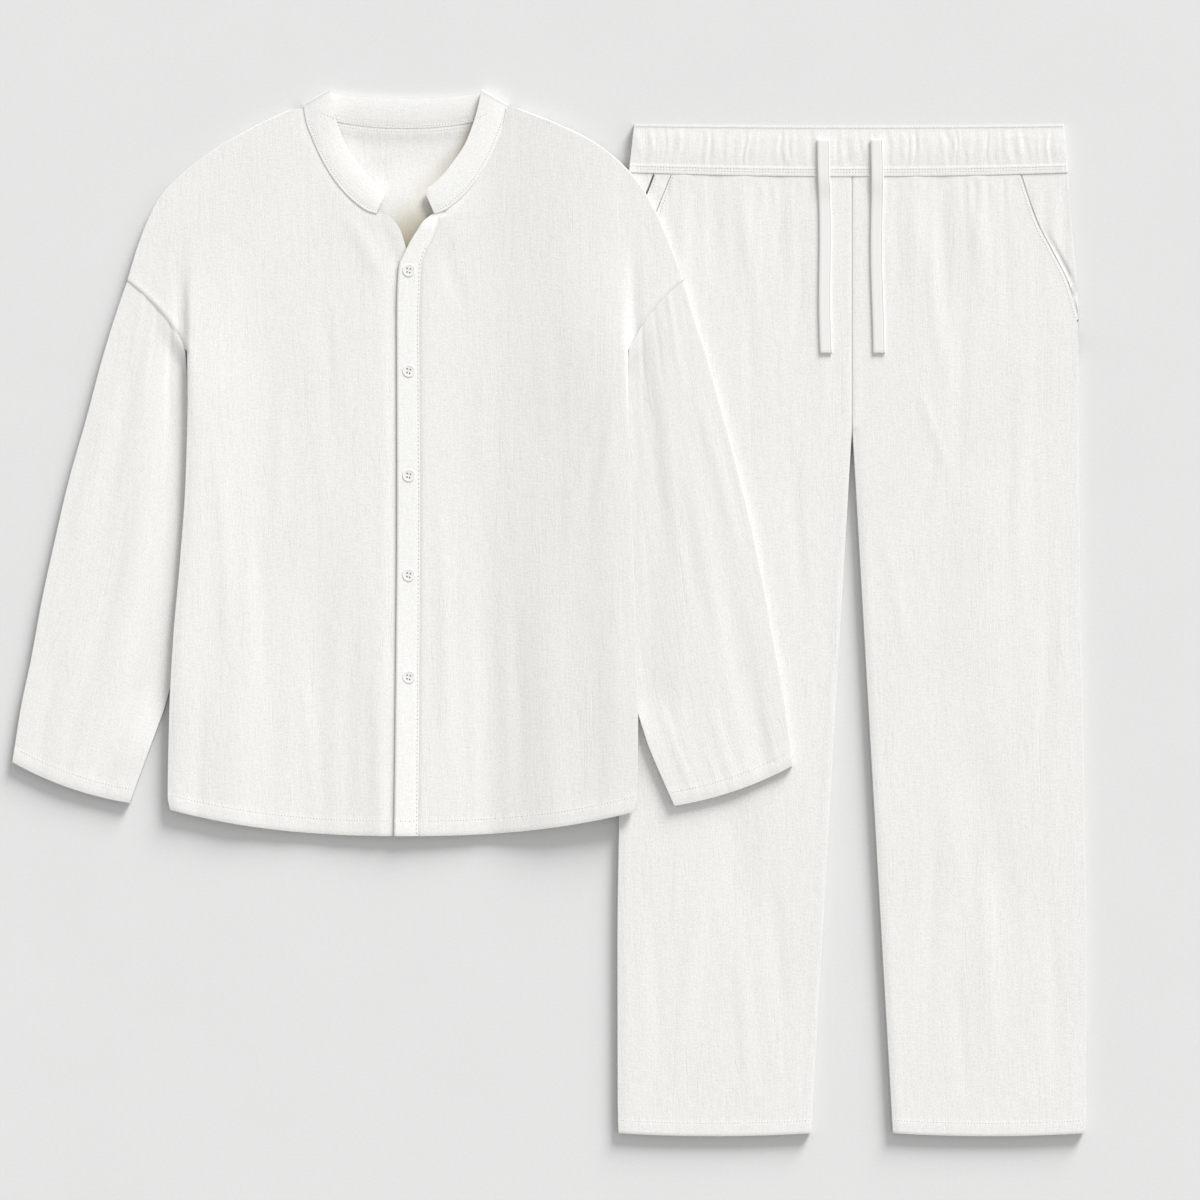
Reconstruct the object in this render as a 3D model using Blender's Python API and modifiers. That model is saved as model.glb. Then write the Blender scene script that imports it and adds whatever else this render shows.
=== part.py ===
"""A co-ord set laid flat: a band-collar shirt with dropped shoulders, and drawstring trousers.

Sizes and tables are in millimetres, in each garment's own frame: x to the right of its centre line
as seen from above, down from its top edge. Right and left in the names are the wearer's, so the
right half of each garment lies at -x. The scene is in metres, +Z up, and the set lies on z = 0.
"""

import bmesh
import bpy
import numpy as np

MM = 0.001
SIGN = {"right": -1, "left": 1}

# Where each garment's centre line meets its top edge
SHIRT_AT = (-143.75, 523.0)
TROUSERS_AT = (302.75, 488.0)

# Walls and what is left between them
CLOTH = 2.0
BAND_CLOTH = 2.4
WAIST_CLOTH = 3.0
TAPE_CLOTH = 1.8
SEAM = 0.3
SEWN_GAP = 0.9
BACK_INSET = 0.8

# Heights of the outer faces above whatever the piece lies on
FRONT_SEAT = 3.2
LOFT = 4.45
ROLL = 9.0
SLEEVE_HEIGHT = 7.5
SLEEVE_END = 6.0
WAIST_HEIGHT = 8.2
WAIST_END = 5.0
TROUSERS_TOP = 8.8

# The share of a fold's length over which it rises to its full height
FOLD_FADE = 0.4


def table(columns, *rows):
    """Rows of numbers under named columns, as one array for each name."""
    return dict(zip(columns.split(), np.array(rows, float).T))


def smooth(share):
    """Eases from 0 to 1 as share goes from 0 to 1."""
    share = np.clip(share, 0, 1)
    return share * share * (3 - 2 * share)


def along(known, values, at):
    """Reads a smooth curve through a table's points, which never swings past them."""
    step = np.diff(known)
    slope = np.diff(values) / step
    product = slope[1:] * slope[:-1]
    total = np.where(product > 0, slope[1:] + slope[:-1], 1)
    tangent = np.concatenate([slope[:1], np.where(product > 0, 2 * product / total, 0), slope[-1:]])
    at = np.clip(at, known[0], known[-1])
    i = np.clip(np.searchsorted(known, at, side="right") - 1, 0, len(step) - 1)
    t = (at - known[i]) / step[i]
    start, end = values[i], values[i + 1]
    bend_in = tangent[i] * step[i]
    bend_out = tangent[i + 1] * step[i]
    return (
        start * (1 + 2 * t) * (1 - t) ** 2
        + bend_in * t * (1 - t) ** 2
        + end * t * t * (3 - 2 * t)
        - bend_out * t * t * (1 - t)
    )


def rolled(inside):
    """The share of its full height that cloth has at this distance inside a rolled edge."""
    return np.sqrt(1 - (1 - np.clip(inside / ROLL, 0, 1)) ** 2)


def folds_at(folds, x, down):
    """Soft ridges and troughs, each from (x_start, start) to (x_end, end), fading towards both ends."""
    total = np.zeros_like(x)
    for x_start, start, x_end, end, height, half in zip(*(folds[name] for name in folds)):
        share = (down - start) / (end - start)
        middle = x_start + (x_end - x_start) * share
        strength = smooth(share / FOLD_FADE) * smooth((1 - share) / FOLD_FADE)
        total = total + height * strength * smooth(1 - np.abs(x - middle) / half)
    return total


# The shirt's outline. Out is the distance from its centre line.
SHOULDER = table(
    "down right left",
    (15.4, 104, 101),
    (34.5, 145.5, 150.5),
    (56.5, 185.5, 193),
    (86.5, 225.5, 227),
    (111, 248, 244),
    (151, 266, 262.5),
    (192, 279, 278),
    (262, 305, 305),
)
SIDE = table(
    "down right left",
    (262, 218.5, 222.5),
    (311, 218, 223),
    (391, 220, 225),
    (471, 225.5, 228),
    (551, 232.5, 231),
    (631, 236.5, 232.5),
    (708, 238, 231.5),
    (722, 235.5, 229),
)
ARMHOLE_TOP = 192.0
ARMHOLE_FOOT = 262.0
ARMHOLE_BOW = 5.5
# The back's armholes bow a little more, over the outer part of its width
BACK_BOW = 8.5
BACK_BOW_FROM = 0.7
SHIRT_END = 722.0
HEM_MIDDLE = 747.0
HEM_RISE = 25.0
HEM_HALF = 230.0
HEM_POWER = 2.4
HEM_BEND_FROM = 520.0

# The neck seam, and how the two fronts' edges go on from it
NECK = table(
    "down out",
    (15.4, 102.5),
    (33, 99),
    (50, 92.6),
    (71, 83),
    (93.5, 69),
    (110.5, 53.5),
)
NECK_FOOT = table("down out", (122, 38.5), (125, 28))
NECK_LAP = 1.5
UNDER_FRONT = table(
    "down x",
    (119, -41.5),
    (125, -17.5),
    (132.5, -9.9),
    (143, -3.8),
    (159, 0.8),
    (175, 6),
    (200, 10),
    (722, 10),
)
PLACKET = table(
    "down edge stitch",
    (124, 28.4, 41.5),
    (132.5, 17.7, 35.5),
    (141.7, 11.5, 31),
    (151, 5.4, 27.5),
    (160, 0.8, 22),
    (167.7, -3, 19),
    (174, -6.1, 17),
    (185, -7.6, 16),
    (203, -8.4, 15.4),
    (221, -8.8, 14.6),
    (411, -8.5, 15.5),
    (611, -10, 14.5),
    (722, -11.5, 13.5),
)
# The placket's top end is cut on a slant, which is gone this far down
PLACKET_TOP_SLANT = 6.0
PLACKET_SLANT_ENDS = 30.0
# The placket stands proud, the left front rises to it, and the right front dips under it
PLACKET_PROUD = 1.1
PROUD_REACH = 45.0
UNDER_PLACKET = 1.4
UNDER_PLACKET_FROM = 140.0
UNDER_PLACKET_LAP = 2.0
UNDER_PLACKET_EASE = 12.0

# Where the shirt climbs onto the trousers, and the extra room between its layers on that slope
ONTO_TROUSERS = (164.5, 209.5)
SLOPE_ROOM = 1.2

# Each sleeve raises the side of the body that lies over it: how much, from where and over how far
SIDE_LIFT = 8.4
FRONT_LIFT = (145.0, 166.0)
BACK_LIFT = (240.0, 71.0)
LIFT_INSIDE = 45.0
LIFT_OUTSIDE = 10.0
LIFT_EASES = (600.0, 120.0)
LIFT_EASED = 0.45

# The sides of the body are rolled from below the armhole down
SIDE_ROLL = (255.0, 40.0)

# The fronts dip under the neck band: fully this near its seam, and not at all past the second distance
NECK_DIP = 2.0
NECK_DIP_REACH = (8.0, 18.0)

# The fronts' folds run off the hem, which they lift and lower
SHIRT_FOLDS = table(
    "x_start start x_end end height half",
    (-150, 330, -183, 1005, 2.6, 40),
    (-80, 380, -100, 980, -2.2, 34),
    (-12, 450, -12, 945, 2.0, 38),
    (80, 380, 93, 983, -2.2, 30),
    (140, 330, 157, 1005, 2.4, 34),
)

# Each row is a section across a sleeve, from its outer fold to its inner fold
SLEEVE = {
    "right": table(
        "outer outer_down inner inner_down",
        (278.5, 192, 219.5, 262),
        (291, 228, 218, 300),
        (304, 271, 215, 345),
        (320, 331, 214, 405),
        (337, 391, 216.5, 460),
        (351, 451, 221, 512),
        (364, 511, 228, 560),
        (375, 571, 237.5, 607),
        (384.5, 616, 254, 655),
        (393.5, 673, 275.5, 714),
    ),
    "left": table(
        "outer outer_down inner inner_down",
        (278, 192, 222.5, 262),
        (290, 232, 221, 300),
        (303, 273, 219, 345),
        (319, 331, 219, 405),
        (335, 391, 221, 460),
        (349, 451, 223, 512),
        (361, 511, 226, 560),
        (372, 571, 229.5, 610),
        (380, 616, 240, 650),
        (387.5, 676, 268, 716.5),
    ),
}
# How far the cuff bows out, from which section on, and down to which the armhole's bow goes
CUFF_BOW = 5.5
CUFF_BOW_FROM = 6.0
ARMHOLE_BOW_ENDS = 2.5
# Rows down a sleeve, and even stretches across its upper and its under face
SLEEVE_ROWS = 15
SLEEVE_OVER = 8
SLEEVE_UNDER = 4
# Across is the share of the sleeve's width from its left fold, row counts the sections above
SLEEVE_FOLDS = table(
    "x_start start x_end end height half",
    (0.34, 0.5, 0.30, 5.5, -1.3, 0.13),
    (0.62, 2.5, 0.55, 8.5, 1.1, 0.15),
    (0.30, 5.5, 0.38, 12, 1.0, 0.15),
    (0.74, 4.5, 0.77, 12, -1.2, 0.12),
)

# Half of the neck band, from its front end to the fold over the shoulder, and from there to the back
BAND_FRONT = table(
    "seam seam_down seam_up edge edge_down edge_up",
    (28.5, 124.5, 7.6, 20.6, 105.5, 9.2),
    (31.5, 123.9, 7.6, 21.6, 100.2, 9.4),
    (38.5, 121.5, 7.6, 27.5, 95.5, 9.5),
    (53.5, 110.5, 7.6, 37, 86.5, 9.5),
    (69, 93.5, 7.6, 48.5, 72, 9.5),
    (83, 71, 7.6, 59.5, 55.5, 9.3),
    (92.6, 50, 7.5, 67, 37, 9.1),
    (99, 33, 7.4, 72.5, 19, 8.9),
)
BAND_FOLD = table(
    "out down up radius",
    (101.8, 17.4, 4.3, 2.75),
    (75.9, 2.6, 5.6, 3.0),
)
BAND_BACK = table(
    "seam seam_down seam_up edge edge_down edge_up",
    (94, 21.2, 1.5, 72, 4, 2.7),
    (82, 27.3, 1.4, 64, 5.5, 2.8),
    (66, 32.6, 1.4, 51, 7, 2.9),
    (44, 36.4, 1.3, 35, 8.3, 3.0),
    (22, 38.4, 1.3, 18, 9, 3.0),
    (0, 39, 1.3, 0, 9.2, 3.0),
)
BAND_ARCH = 0.5
BACK_NECK = table(
    "out down",
    (0, 40.2),
    (22, 39.6),
    (45, 37.5),
    (68, 33.4),
    (85, 27.8),
    (97, 22.4),
    (106, 20.5),
)

# Buttons down the placket
BUTTON_X = 3.5
BUTTON_DOWNS = (181.5, 282.0, 386.5, 486.0, 588.0)
BUTTON_WIDTH = 12.7
BUTTON_PROFILE = (1.5, 1.5, 2.1, 2.4, 1.7, 0.9, 0, 0)
BUTTON_HOLE = 1.7
BUTTON_HOLE_APART = 3.0
BUTTON_STEPS = 16

# The trousers' outline
WAIST = table("down right left", (0, 218.3, 211.6), (25, 221, 214), (49, 223.5, 216))
WAIST_HALF = 220.0
WAIST_SAG = 1.5
WAIST_FOOT = 48.5
WAIST_FOOT_SAG = 4.0
WAIST_GATHERS = 37
GATHER_HEIGHT = 1.0
# The gathers are flattest along the band's two rows of stitching
WAIST_ROWS = np.array([0, 12, 25, 38, 49.0])
GATHER_ROWS = np.array([0.5, 1, 0.9, 1, 0.5])
LEG = table(
    "down right left",
    (49, 224, 216),
    (110, 226, 220.6),
    (167, 227, 225.4),
    (196, 227.5, 226.4),
    (276, 229, 226.5),
    (486, 231.3, 228.5),
    (561, 232, 230.5),
    (696, 233.5, 232.5),
    (816, 235, 234.5),
    (976, 234.8, 234),
    (1009, 234, 233),
)
CROTCH = 306.0
INSEAM_SLOPE = 0.0575
LEG_END = 1009.0
LEG_HEM_BOW = 3.0
LEG_HEM_FROM = 900.0
# Rows follow the band's lower edge at first, and are level this far below it
LEG_TOP_ENDS = 60.0
# The outer edges are rolled from below the pockets on, and the inner ones from about the crotch
OUTER_ROLL = (4.0, 30.0)
INNER_ROLL = (286.0, 60.0)

# The slanted pocket mouths, and the hip pieces that show beyond them
POCKET = {
    "right": table("down out", (48, 197.5), (70, 205.5), (100, 217), (128, 226)),
    "left": table("down out", (48, 168), (98, 185), (131, 202), (158, 215.5), (192, 226)),
}
POCKET_LAP = 12.0
POCKET_BELOW = 16.0
HIP_SEAT = 3.9
HIP_UNDER = 5.2
HIP_TOP = 6.5

# Seven pleats that run up under the waistband, and four long soft creases in the legs
TROUSER_FOLDS = table(
    "x_start start x_end end height half",
    (-172, 230, -165, -87, 1.4, 13),
    (-140, 180, -133, -53, -1.2, 12),
    (-104, 250, -111, -100, 1.4, 14),
    (-70, 190, -77, -60, -1.2, 12),
    (62, 200, 65, -67, 1.4, 13),
    (96, 240, 86, -93, -1.2, 13),
    (130, 190, 120, -60, 1.4, 14),
    (-155, 600, -115, 340, 1.0, 40),
    (115, 580, 145, 330, 1.1, 44),
    (-96, 860, -130, 600, -1.0, 36),
    (155, 840, 112, 580, -1.0, 40),
)

# Each drawstring tape: the middle of its width where it leaves the band, and at its free end
TAPE_WIDTH = 12.5
TAPE_FROM = 15.0
TAPE_TO = 230.0
# Below the band it comes down onto the front, from here on and over this length
TAPE_DROP = (54.0, 24.0)
TAPE_X = {"right": (-29.0, -25.7), "left": (24.5, 26.0)}

# Rows down each garment
SHIRT_ROWS = (20, 28, 40, 56.5, 72, 86.5, 100, 111, 119, 125, 132.5, 143, 151, 159, 175)
SHIRT_ROWS = SHIRT_ROWS + (192, 206, 220, 234, 248, 262)
BODY_ROWS = (285, 311, 355, 400, 450, 500, 550, 600, 650, 690, 722)
LEG_ROWS = (49, 60, 75, 92, 110, 128, 150, 170, 192, 214, 240, 270, 306, 350, 410, 480, 560, 650, 740, 830)
SHIN_ROWS = (910, 970, 1009)
# Columns: their distances from a rolled edge, less where a panel is narrow, how many even stretches
# lie between those near its two edges, and those of the shirt's back by their distance out
EDGE_STEPS = np.array([0, 0.6, 2.4, 6, 12])
NARROW = 80.0
FRONT_PLAIN = 6
LEG_PLAIN = 6
BACK_OUTS = np.array([0, 22, 45, 68, 90, 106, 135, 160, 180, 200, 220, 250, 276])


def shirt_hem(x):
    return HEM_MIDDLE - HEM_RISE * (np.abs(x) / HEM_HALF) ** HEM_POWER


def shirt_down(x, row):
    """Rows are level down to the waist, and then bend to the curve of the hem."""
    bend = smooth((row - HEM_BEND_FROM) / (SHIRT_END - HEM_BEND_FROM))
    return row + (shirt_hem(x) - SHIRT_END) * bend


def shirt_edge(side, down):
    """The body's outer edge: the shoulder, then the armhole seam, then the side."""
    top, foot = SLEEVE[side]["outer"][0], SLEEVE[side]["inner"][0]
    share = np.clip((down - ARMHOLE_TOP) / (ARMHOLE_FOOT - ARMHOLE_TOP), 0, 1)
    run = ARMHOLE_FOOT - ARMHOLE_TOP
    bow = ARMHOLE_BOW * np.hypot(run, top - foot) / run
    armhole = top + (foot - top) * share - bow * 4 * share * (1 - share)
    shoulder = along(SHOULDER["down"], SHOULDER[side], down)
    body = along(SIDE["down"], SIDE[side], down)
    return np.where(down < ARMHOLE_TOP, shoulder, np.where(down < ARMHOLE_FOOT, armhole, body))


def onto_trousers(x):
    start, full = ONTO_TROUSERS
    return TROUSERS_TOP * smooth((x - start) / (full - start))


def by_side(x, values):
    """Reads the right column where x is on the wearer's right, and the left column elsewhere."""
    return np.where(x < 0, values["right"], values["left"])


def side_lift(x, down, start, over):
    """How far the sleeve below raises the side of the body, from start on."""
    eased = LIFT_EASED * smooth((down - LIFT_EASES[0]) / LIFT_EASES[1])
    rise = SIDE_LIFT * smooth((down - start) / over) * (1 - eased)
    edges = {side: along(SIDE["down"], SIDE[side], down) for side in SIGN}
    inside = by_side(x, edges) - np.abs(x)
    return rise * np.where(inside > 0, smooth(1 - inside / LIFT_INSIDE), smooth(1 + inside / LIFT_OUTSIDE))


def neck_distance(x, down):
    """How far a point is from the neck seam of the fronts."""
    out = np.concatenate([NECK["out"], NECK_FOOT["out"]])
    seam_down = np.concatenate([NECK["down"], NECK_FOOT["down"]])
    fine = np.linspace(0, len(out) - 1, 80)
    out = np.interp(fine, np.arange(len(out)), out)
    seam_down = np.interp(fine, np.arange(len(seam_down)), seam_down)
    apart = np.hypot(np.abs(x)[..., None] - out, down[..., None] - seam_down)
    return apart.min(axis=-1)


def under_band(x, down):
    """1 where the fronts dip to go under the neck band, and 0 clear of it."""
    full, none = NECK_DIP_REACH
    return smooth((none - neck_distance(x, down)) / (none - full))


def front_height(x, down):
    """The outer face of the shirt's fronts, as one surface from side to side."""
    shoulder = {side: along(SHOULDER["down"], SHOULDER[side], down) for side in SIGN}
    lower = {side: along(SHOULDER["down"], SHOULDER[side], down + 1) for side in SIGN}
    slope = by_side(x, lower) - by_side(x, shoulder)
    inside_shoulder = (by_side(x, shoulder) - np.abs(x)) / np.hypot(1, slope)
    edges = {side: along(SIDE["down"], SIDE[side], down) for side in SIGN}
    roll_share = smooth((down - SIDE_ROLL[0]) / SIDE_ROLL[1])
    side_roll = 1 - roll_share * (1 - rolled(by_side(x, edges) - np.abs(x)))
    high = np.where(down < ARMHOLE_FOOT, rolled(inside_shoulder), 1) * side_roll
    onto = onto_trousers(x)
    room = SLOPE_ROOM * 4 * onto * (TROUSERS_TOP - onto) / TROUSERS_TOP**2
    rest = onto + room + side_lift(x, down, *FRONT_LIFT) - NECK_DIP * under_band(x, down)
    return FRONT_SEAT + rest + high * (LOFT + folds_at(SHIRT_FOLDS, x, down))


def placket_edges(row):
    """The placket's free edge and its stitched edge, as x."""
    return (along(PLACKET["down"], PLACKET[name], row) for name in ("edge", "stitch"))


def placket_slant(row):
    """How much higher a row of the placket is at its stitched edge than at its free one."""
    return PLACKET_TOP_SLANT * (1 - smooth((row - PLACKET["down"][0]) / PLACKET_SLANT_ENDS))


def placket_height(x, down):
    """The outer face of the placket, which dips under the neck band."""
    return front_height(x, down) + PLACKET_PROUD * (1 - under_band(x, down))


def fill_material(name, colour, roughness):
    material = bpy.data.materials.new(name)
    material.use_nodes = True
    shader = material.node_tree.nodes["Principled BSDF"]
    shader.inputs["Base Color"].default_value = (*colour, 1)
    shader.inputs["Roughness"].default_value = roughness
    shader.inputs["Metallic"].default_value = 0
    return material


def add_object(name, mesh, garment, material):
    obj = bpy.data.objects.new(name, mesh)
    mesh.materials.clear()
    mesh.materials.append(material)
    obj.parent = garment
    garment.users_collection[0].objects.link(obj)
    return obj


def add_cloth(name, points, wall, garment, material, ring=False, centred=False):
    """A cloth wall. Points are x, down and up on its outer face, in rows from the top, left to right.

    On a ring each row goes up the left end, along the top, down the right end and back underneath.
    """
    rows, columns = points[2].shape
    grid = bmesh.new()
    bmesh.ops.create_grid(grid, x_segments=columns - 1, y_segments=rows - 1, size=1)
    x, down, up = (values[::-1].ravel() * MM for values in points)
    for vertex, place in zip(grid.verts, zip(x, -down, up)):
        vertex.co = place
    if ring:
        bmesh.ops.remove_doubles(grid, verts=grid.verts, dist=1e-6)
    mesh = bpy.data.meshes.new(name)
    grid.to_mesh(mesh)
    grid.free()
    mesh.shade_smooth()
    cloth = add_object(name, mesh, garment, material)
    solidify = cloth.modifiers.new("wall", "SOLIDIFY")
    solidify.thickness = wall * MM
    solidify.offset = 0 if centred else -1
    solidify.use_even_offset = True
    return cloth


def spread(outer, inner, steps, inner_steps, plain):
    """Columns from an outer edge to an inner one. The steps are their distances from each edge."""
    width = inner - outer
    close = np.minimum(1, np.abs(width) / NARROW) * np.sign(width)
    near = outer + steps * close
    far = inner - inner_steps[..., ::-1] * close
    share = np.linspace(0, 1, plain + 1)[1:-1]
    middle = near[:, -1:] + (far[:, :1] - near[:, -1:]) * share
    return np.concatenate([near, middle, far], axis=1)


def left_to_right(x, down, up):
    """Turns each row round where it runs from right to left."""
    step = -1 if x[-1, 0] > x[-1, -1] else 1
    return x[:, ::step], down[:, ::step], up[:, ::step]


def add_shirt_front(side, garment, material):
    rows = np.array(SHIRT_ROWS + BODY_ROWS, float)[:, None]
    neck_x = SIGN[side] * (NECK["out"] - NECK_LAP)
    if side == "right":
        edge_down, edge_x = UNDER_FRONT["down"], UNDER_FRONT["x"]
    else:
        edge_down = PLACKET["down"] - placket_slant(PLACKET["down"])
        edge_x = PLACKET["stitch"] + SEWN_GAP
    inner = along(np.append(NECK["down"], edge_down), np.append(neck_x, edge_x), rows)
    outer = SIGN[side] * shirt_edge(side, rows)
    edge, stitch = placket_edges(rows)
    under = np.full_like(rows, NECK_DIP_REACH[0])
    if side == "right":
        under = np.maximum(under, inner - edge + UNDER_PLACKET_LAP)
    inner_steps = np.concatenate([0 * under, under, under + UNDER_PLACKET_EASE], axis=1)
    x = spread(outer, inner, EDGE_STEPS, inner_steps, FRONT_PLAIN)
    down = shirt_down(x, rows + 0 * x)
    up = front_height(x, down)
    if side == "right":
        covered = smooth((x - edge + UNDER_PLACKET_LAP) / UNDER_PLACKET_EASE + 1)
        up = up - UNDER_PLACKET * covered * smooth((rows - UNDER_PLACKET_FROM) / UNDER_PLACKET_EASE)
    else:
        beside = smooth(1 - (x - stitch) / PROUD_REACH)
        up = up + PLACKET_PROUD * beside * (1 - under_band(x, down))
    x, down, up = left_to_right(x, down, up)
    add_cloth(f"shirt_front_{side}", (x, down, up), CLOTH, garment, material)


def add_shirt_back(garment, material):
    """Level rows up to the armholes, which then bend to the line of the shoulders and the neck."""
    out = BACK_OUTS
    share = out / out[-1]
    top, level = {}, {}
    for side, sign in SIGN.items():
        shoulder_down = along(SHOULDER[side][:-1], SHOULDER["down"][:-1], out + BACK_INSET) + BACK_INSET
        neck_down = along(BACK_NECK["out"], BACK_NECK["down"], out)
        top[side] = sign * out, np.where(out > BACK_NECK["out"][-1], shoulder_down, neck_down)
        level[side] = sign * share * (shirt_edge(side, ARMHOLE_FOOT) - BACK_INSET)
    top_x = np.append(top["right"][0][:0:-1], top["left"][0])
    top_down = np.append(top["right"][1][:0:-1], top["left"][1])
    level_x = np.append(level["right"][:0:-1], level["left"])
    share = np.append(share[:0:-1], share)
    weight = np.array([1, 0.75, 0.5, 0.25])[:, None]
    at_armhole = smooth((share - BACK_BOW_FROM) / (1 - BACK_BOW_FROM)) * np.sign(level_x)
    bow = BACK_BOW * 4 * weight * (1 - weight) * at_armhole
    x = level_x + (top_x - level_x) * weight - bow
    down = ARMHOLE_FOOT + (top_down - ARMHOLE_FOOT) * weight
    rows = np.array((ARMHOLE_FOOT,) + BODY_ROWS)[:, None]
    edges = {side: along(SIDE["down"], SIDE[side], rows) - BACK_INSET for side in SIGN}
    body_x = share * np.sign(level_x) * by_side(level_x, edges)
    x = np.concatenate([x, body_x])
    down = np.concatenate([down, shirt_down(body_x, rows + 0 * body_x) - BACK_INSET])
    up = CLOTH + onto_trousers(x) + side_lift(x, down, *BACK_LIFT)
    add_cloth("shirt_back", (x, down, up), CLOTH, garment, material)


def add_placket(garment, material):
    curved = PLACKET["down"] < ARMHOLE_FOOT
    rows = np.concatenate([PLACKET["down"][curved], (ARMHOLE_FOOT,), BODY_ROWS])[:, None]
    edge, stitch = placket_edges(rows)
    share = np.linspace(0, 1, 4)
    x = edge + (stitch - edge) * share
    down = shirt_down(x, rows - placket_slant(rows) * share)
    add_cloth("shirt_placket", (x, down, placket_height(x, down)), CLOTH, garment, material)


def flat_tube(end, height, top, bottom):
    """Once round a flattened tube, from its left tip. Top and bottom are shares of the way across.

    Gives what is fixed and what goes with the width in each point's distance from the left tip, and
    its height.
    """
    rise = np.radians([0, 30, 60])
    fall = np.radians([60, 30, 0, -30, -60])
    close = np.radians([-60, -30, 0])
    ends = end * (1 - np.cos(rise)), -end * (1 - np.cos(fall)), end * (1 - np.cos(close))
    over, under = np.array(top), np.array(bottom)[::-1]
    fixed = np.concatenate([ends[0], end * (1 - 2 * over), ends[1], end * (1 - 2 * under), ends[2]])
    share = np.concatenate([0 * rise, over, 0 * fall + 1, under, 0 * close])
    turn = np.concatenate([np.sin(rise), 0 * over + 1, np.sin(fall), 0 * under - 1, np.sin(close)])
    return fixed, share, height / 2 * (1 + turn)


def add_sleeve(side, garment, material):
    cut = SLEEVE[side]
    sections = np.arange(len(cut["outer"]))
    row = np.linspace(0, sections[-1], SLEEVE_ROWS)[:, None]
    fold = {}
    for name in ("outer", "inner"):
        out = along(sections, cut[name], row)
        fold[name] = np.stack([SIGN[side] * out, along(sections, cut[f"{name}_down"], row)])
    left, right = (fold[name] for name in (("outer", "inner") if side == "right" else ("inner", "outer")))
    width = np.hypot(*(right - left))
    over, under = np.linspace(0, 1, SLEEVE_OVER + 1), np.linspace(0, 1, SLEEVE_UNDER + 1)
    fixed, share, height = flat_tube(SLEEVE_END, SLEEVE_HEIGHT, over, under)
    across = (fixed + share * width) / width
    run_x, run_down = (right - left) / width
    cuff = smooth((row - CUFF_BOW_FROM) / (sections[-1] - CUFF_BOW_FROM))
    bow = CUFF_BOW * cuff - ARMHOLE_BOW * (1 - smooth(row / ARMHOLE_BOW_ENDS))
    away = bow * 4 * across * (1 - across) + SEWN_GAP * (1 - smooth(row))
    x = left[0] + (right - left)[0] * across - run_down * away
    down = left[1] + (right - left)[1] * across + run_x * away
    on_top = np.clip(2 * height / SLEEVE_HEIGHT - 1, 0, 1)
    creases = folds_at(SLEEVE_FOLDS, across, row + 0 * across) * on_top
    up = height + creases + (TROUSERS_TOP if side == "left" else 0)
    add_cloth(f"shirt_sleeve_{side}", (x, down, up), CLOTH, garment, material, ring=True)


def band_stations():
    """The neck band's seam and edge, from the wearer's left front round the back to the right front."""
    turn = np.radians([0, 45, 90, 135, 180])[:, None]
    seam_x, seam_down = BAND_FOLD["out"][0], BAND_FOLD["down"][0]
    edge_x, edge_down = BAND_FOLD["out"][1], BAND_FOLD["down"][1]
    long = np.hypot(seam_x - edge_x, seam_down - edge_down)
    outward = (seam_down - edge_down) / long, -(seam_x - edge_x) / long
    reach = BAND_FOLD["radius"] * np.sin(turn)
    out = BAND_FOLD["out"] + outward[0] * reach
    down = BAND_FOLD["down"] + outward[1] * reach
    up = BAND_FOLD["up"] + BAND_FOLD["radius"] * np.cos(turn)
    both = []
    for i, name in enumerate(("seam", "edge")):
        turned = {name: out[:, i], f"{name}_down": down[:, i], f"{name}_up": up[:, i]}
        half = [np.concatenate([BAND_FRONT[key], turned[key], BAND_BACK[key]]) for key in turned]
        mirrored = [-half[0][-2::-1], half[1][-2::-1], half[2][-2::-1]]
        both.append([np.concatenate(pair) for pair in zip(half, mirrored)])
    return both


def add_collar(garment, material):
    seam, edge = band_stations()
    share = np.array([1, 0.5, 0])[:, None]
    x, down, up = (seam[i] + (edge[i] - seam[i]) * share for i in range(3))
    up = up + BAND_ARCH * 4 * share * (1 - share)
    add_cloth("shirt_collar", (x, down, up), BAND_CLOTH, garment, material, centred=True)


def button_mesh(collection):
    """A turned four-hole button, with a shallow dish inside a rounded rim."""
    half = BUTTON_WIDTH / 2
    radius = np.array([0, half - 2.6, half - 1.7, half - 0.8, half, half, half - 1.2, 0])
    mesh = bpy.data.meshes.new("button")
    edges = [(i, i + 1) for i in range(len(radius) - 1)]
    mesh.from_pydata([(r * MM, 0, z * MM) for r, z in zip(radius, BUTTON_PROFILE)], edges, [])
    turned = bpy.data.objects.new("button_blank", mesh)
    collection.objects.link(turned)
    screw = turned.modifiers.new("turn", "SCREW")
    screw.steps = screw.render_steps = BUTTON_STEPS
    screw.use_merge_vertices = True
    screw.merge_threshold = 1e-5
    for x in (-1, 1):
        for y in (-1, 1):
            place = (x * BUTTON_HOLE_APART / 2 * MM, y * BUTTON_HOLE_APART / 2 * MM, 0)
            radius = BUTTON_HOLE / 2 * MM
            bpy.ops.mesh.primitive_cylinder_add(vertices=6, radius=radius, depth=0.01, location=place)
            cut = turned.modifiers.new("hole", "BOOLEAN")
            cut.operation = "DIFFERENCE"
            cut.object = bpy.context.object
    graph = bpy.context.evaluated_depsgraph_get()
    made = bpy.data.meshes.new_from_object(turned.evaluated_get(graph))
    for modifier in list(turned.modifiers):
        if modifier.type == "BOOLEAN":
            bpy.data.objects.remove(modifier.object)
    bpy.data.objects.remove(turned)
    made.shade_smooth()
    made.set_sharp_from_angle(angle=np.radians(40))
    return made


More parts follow.
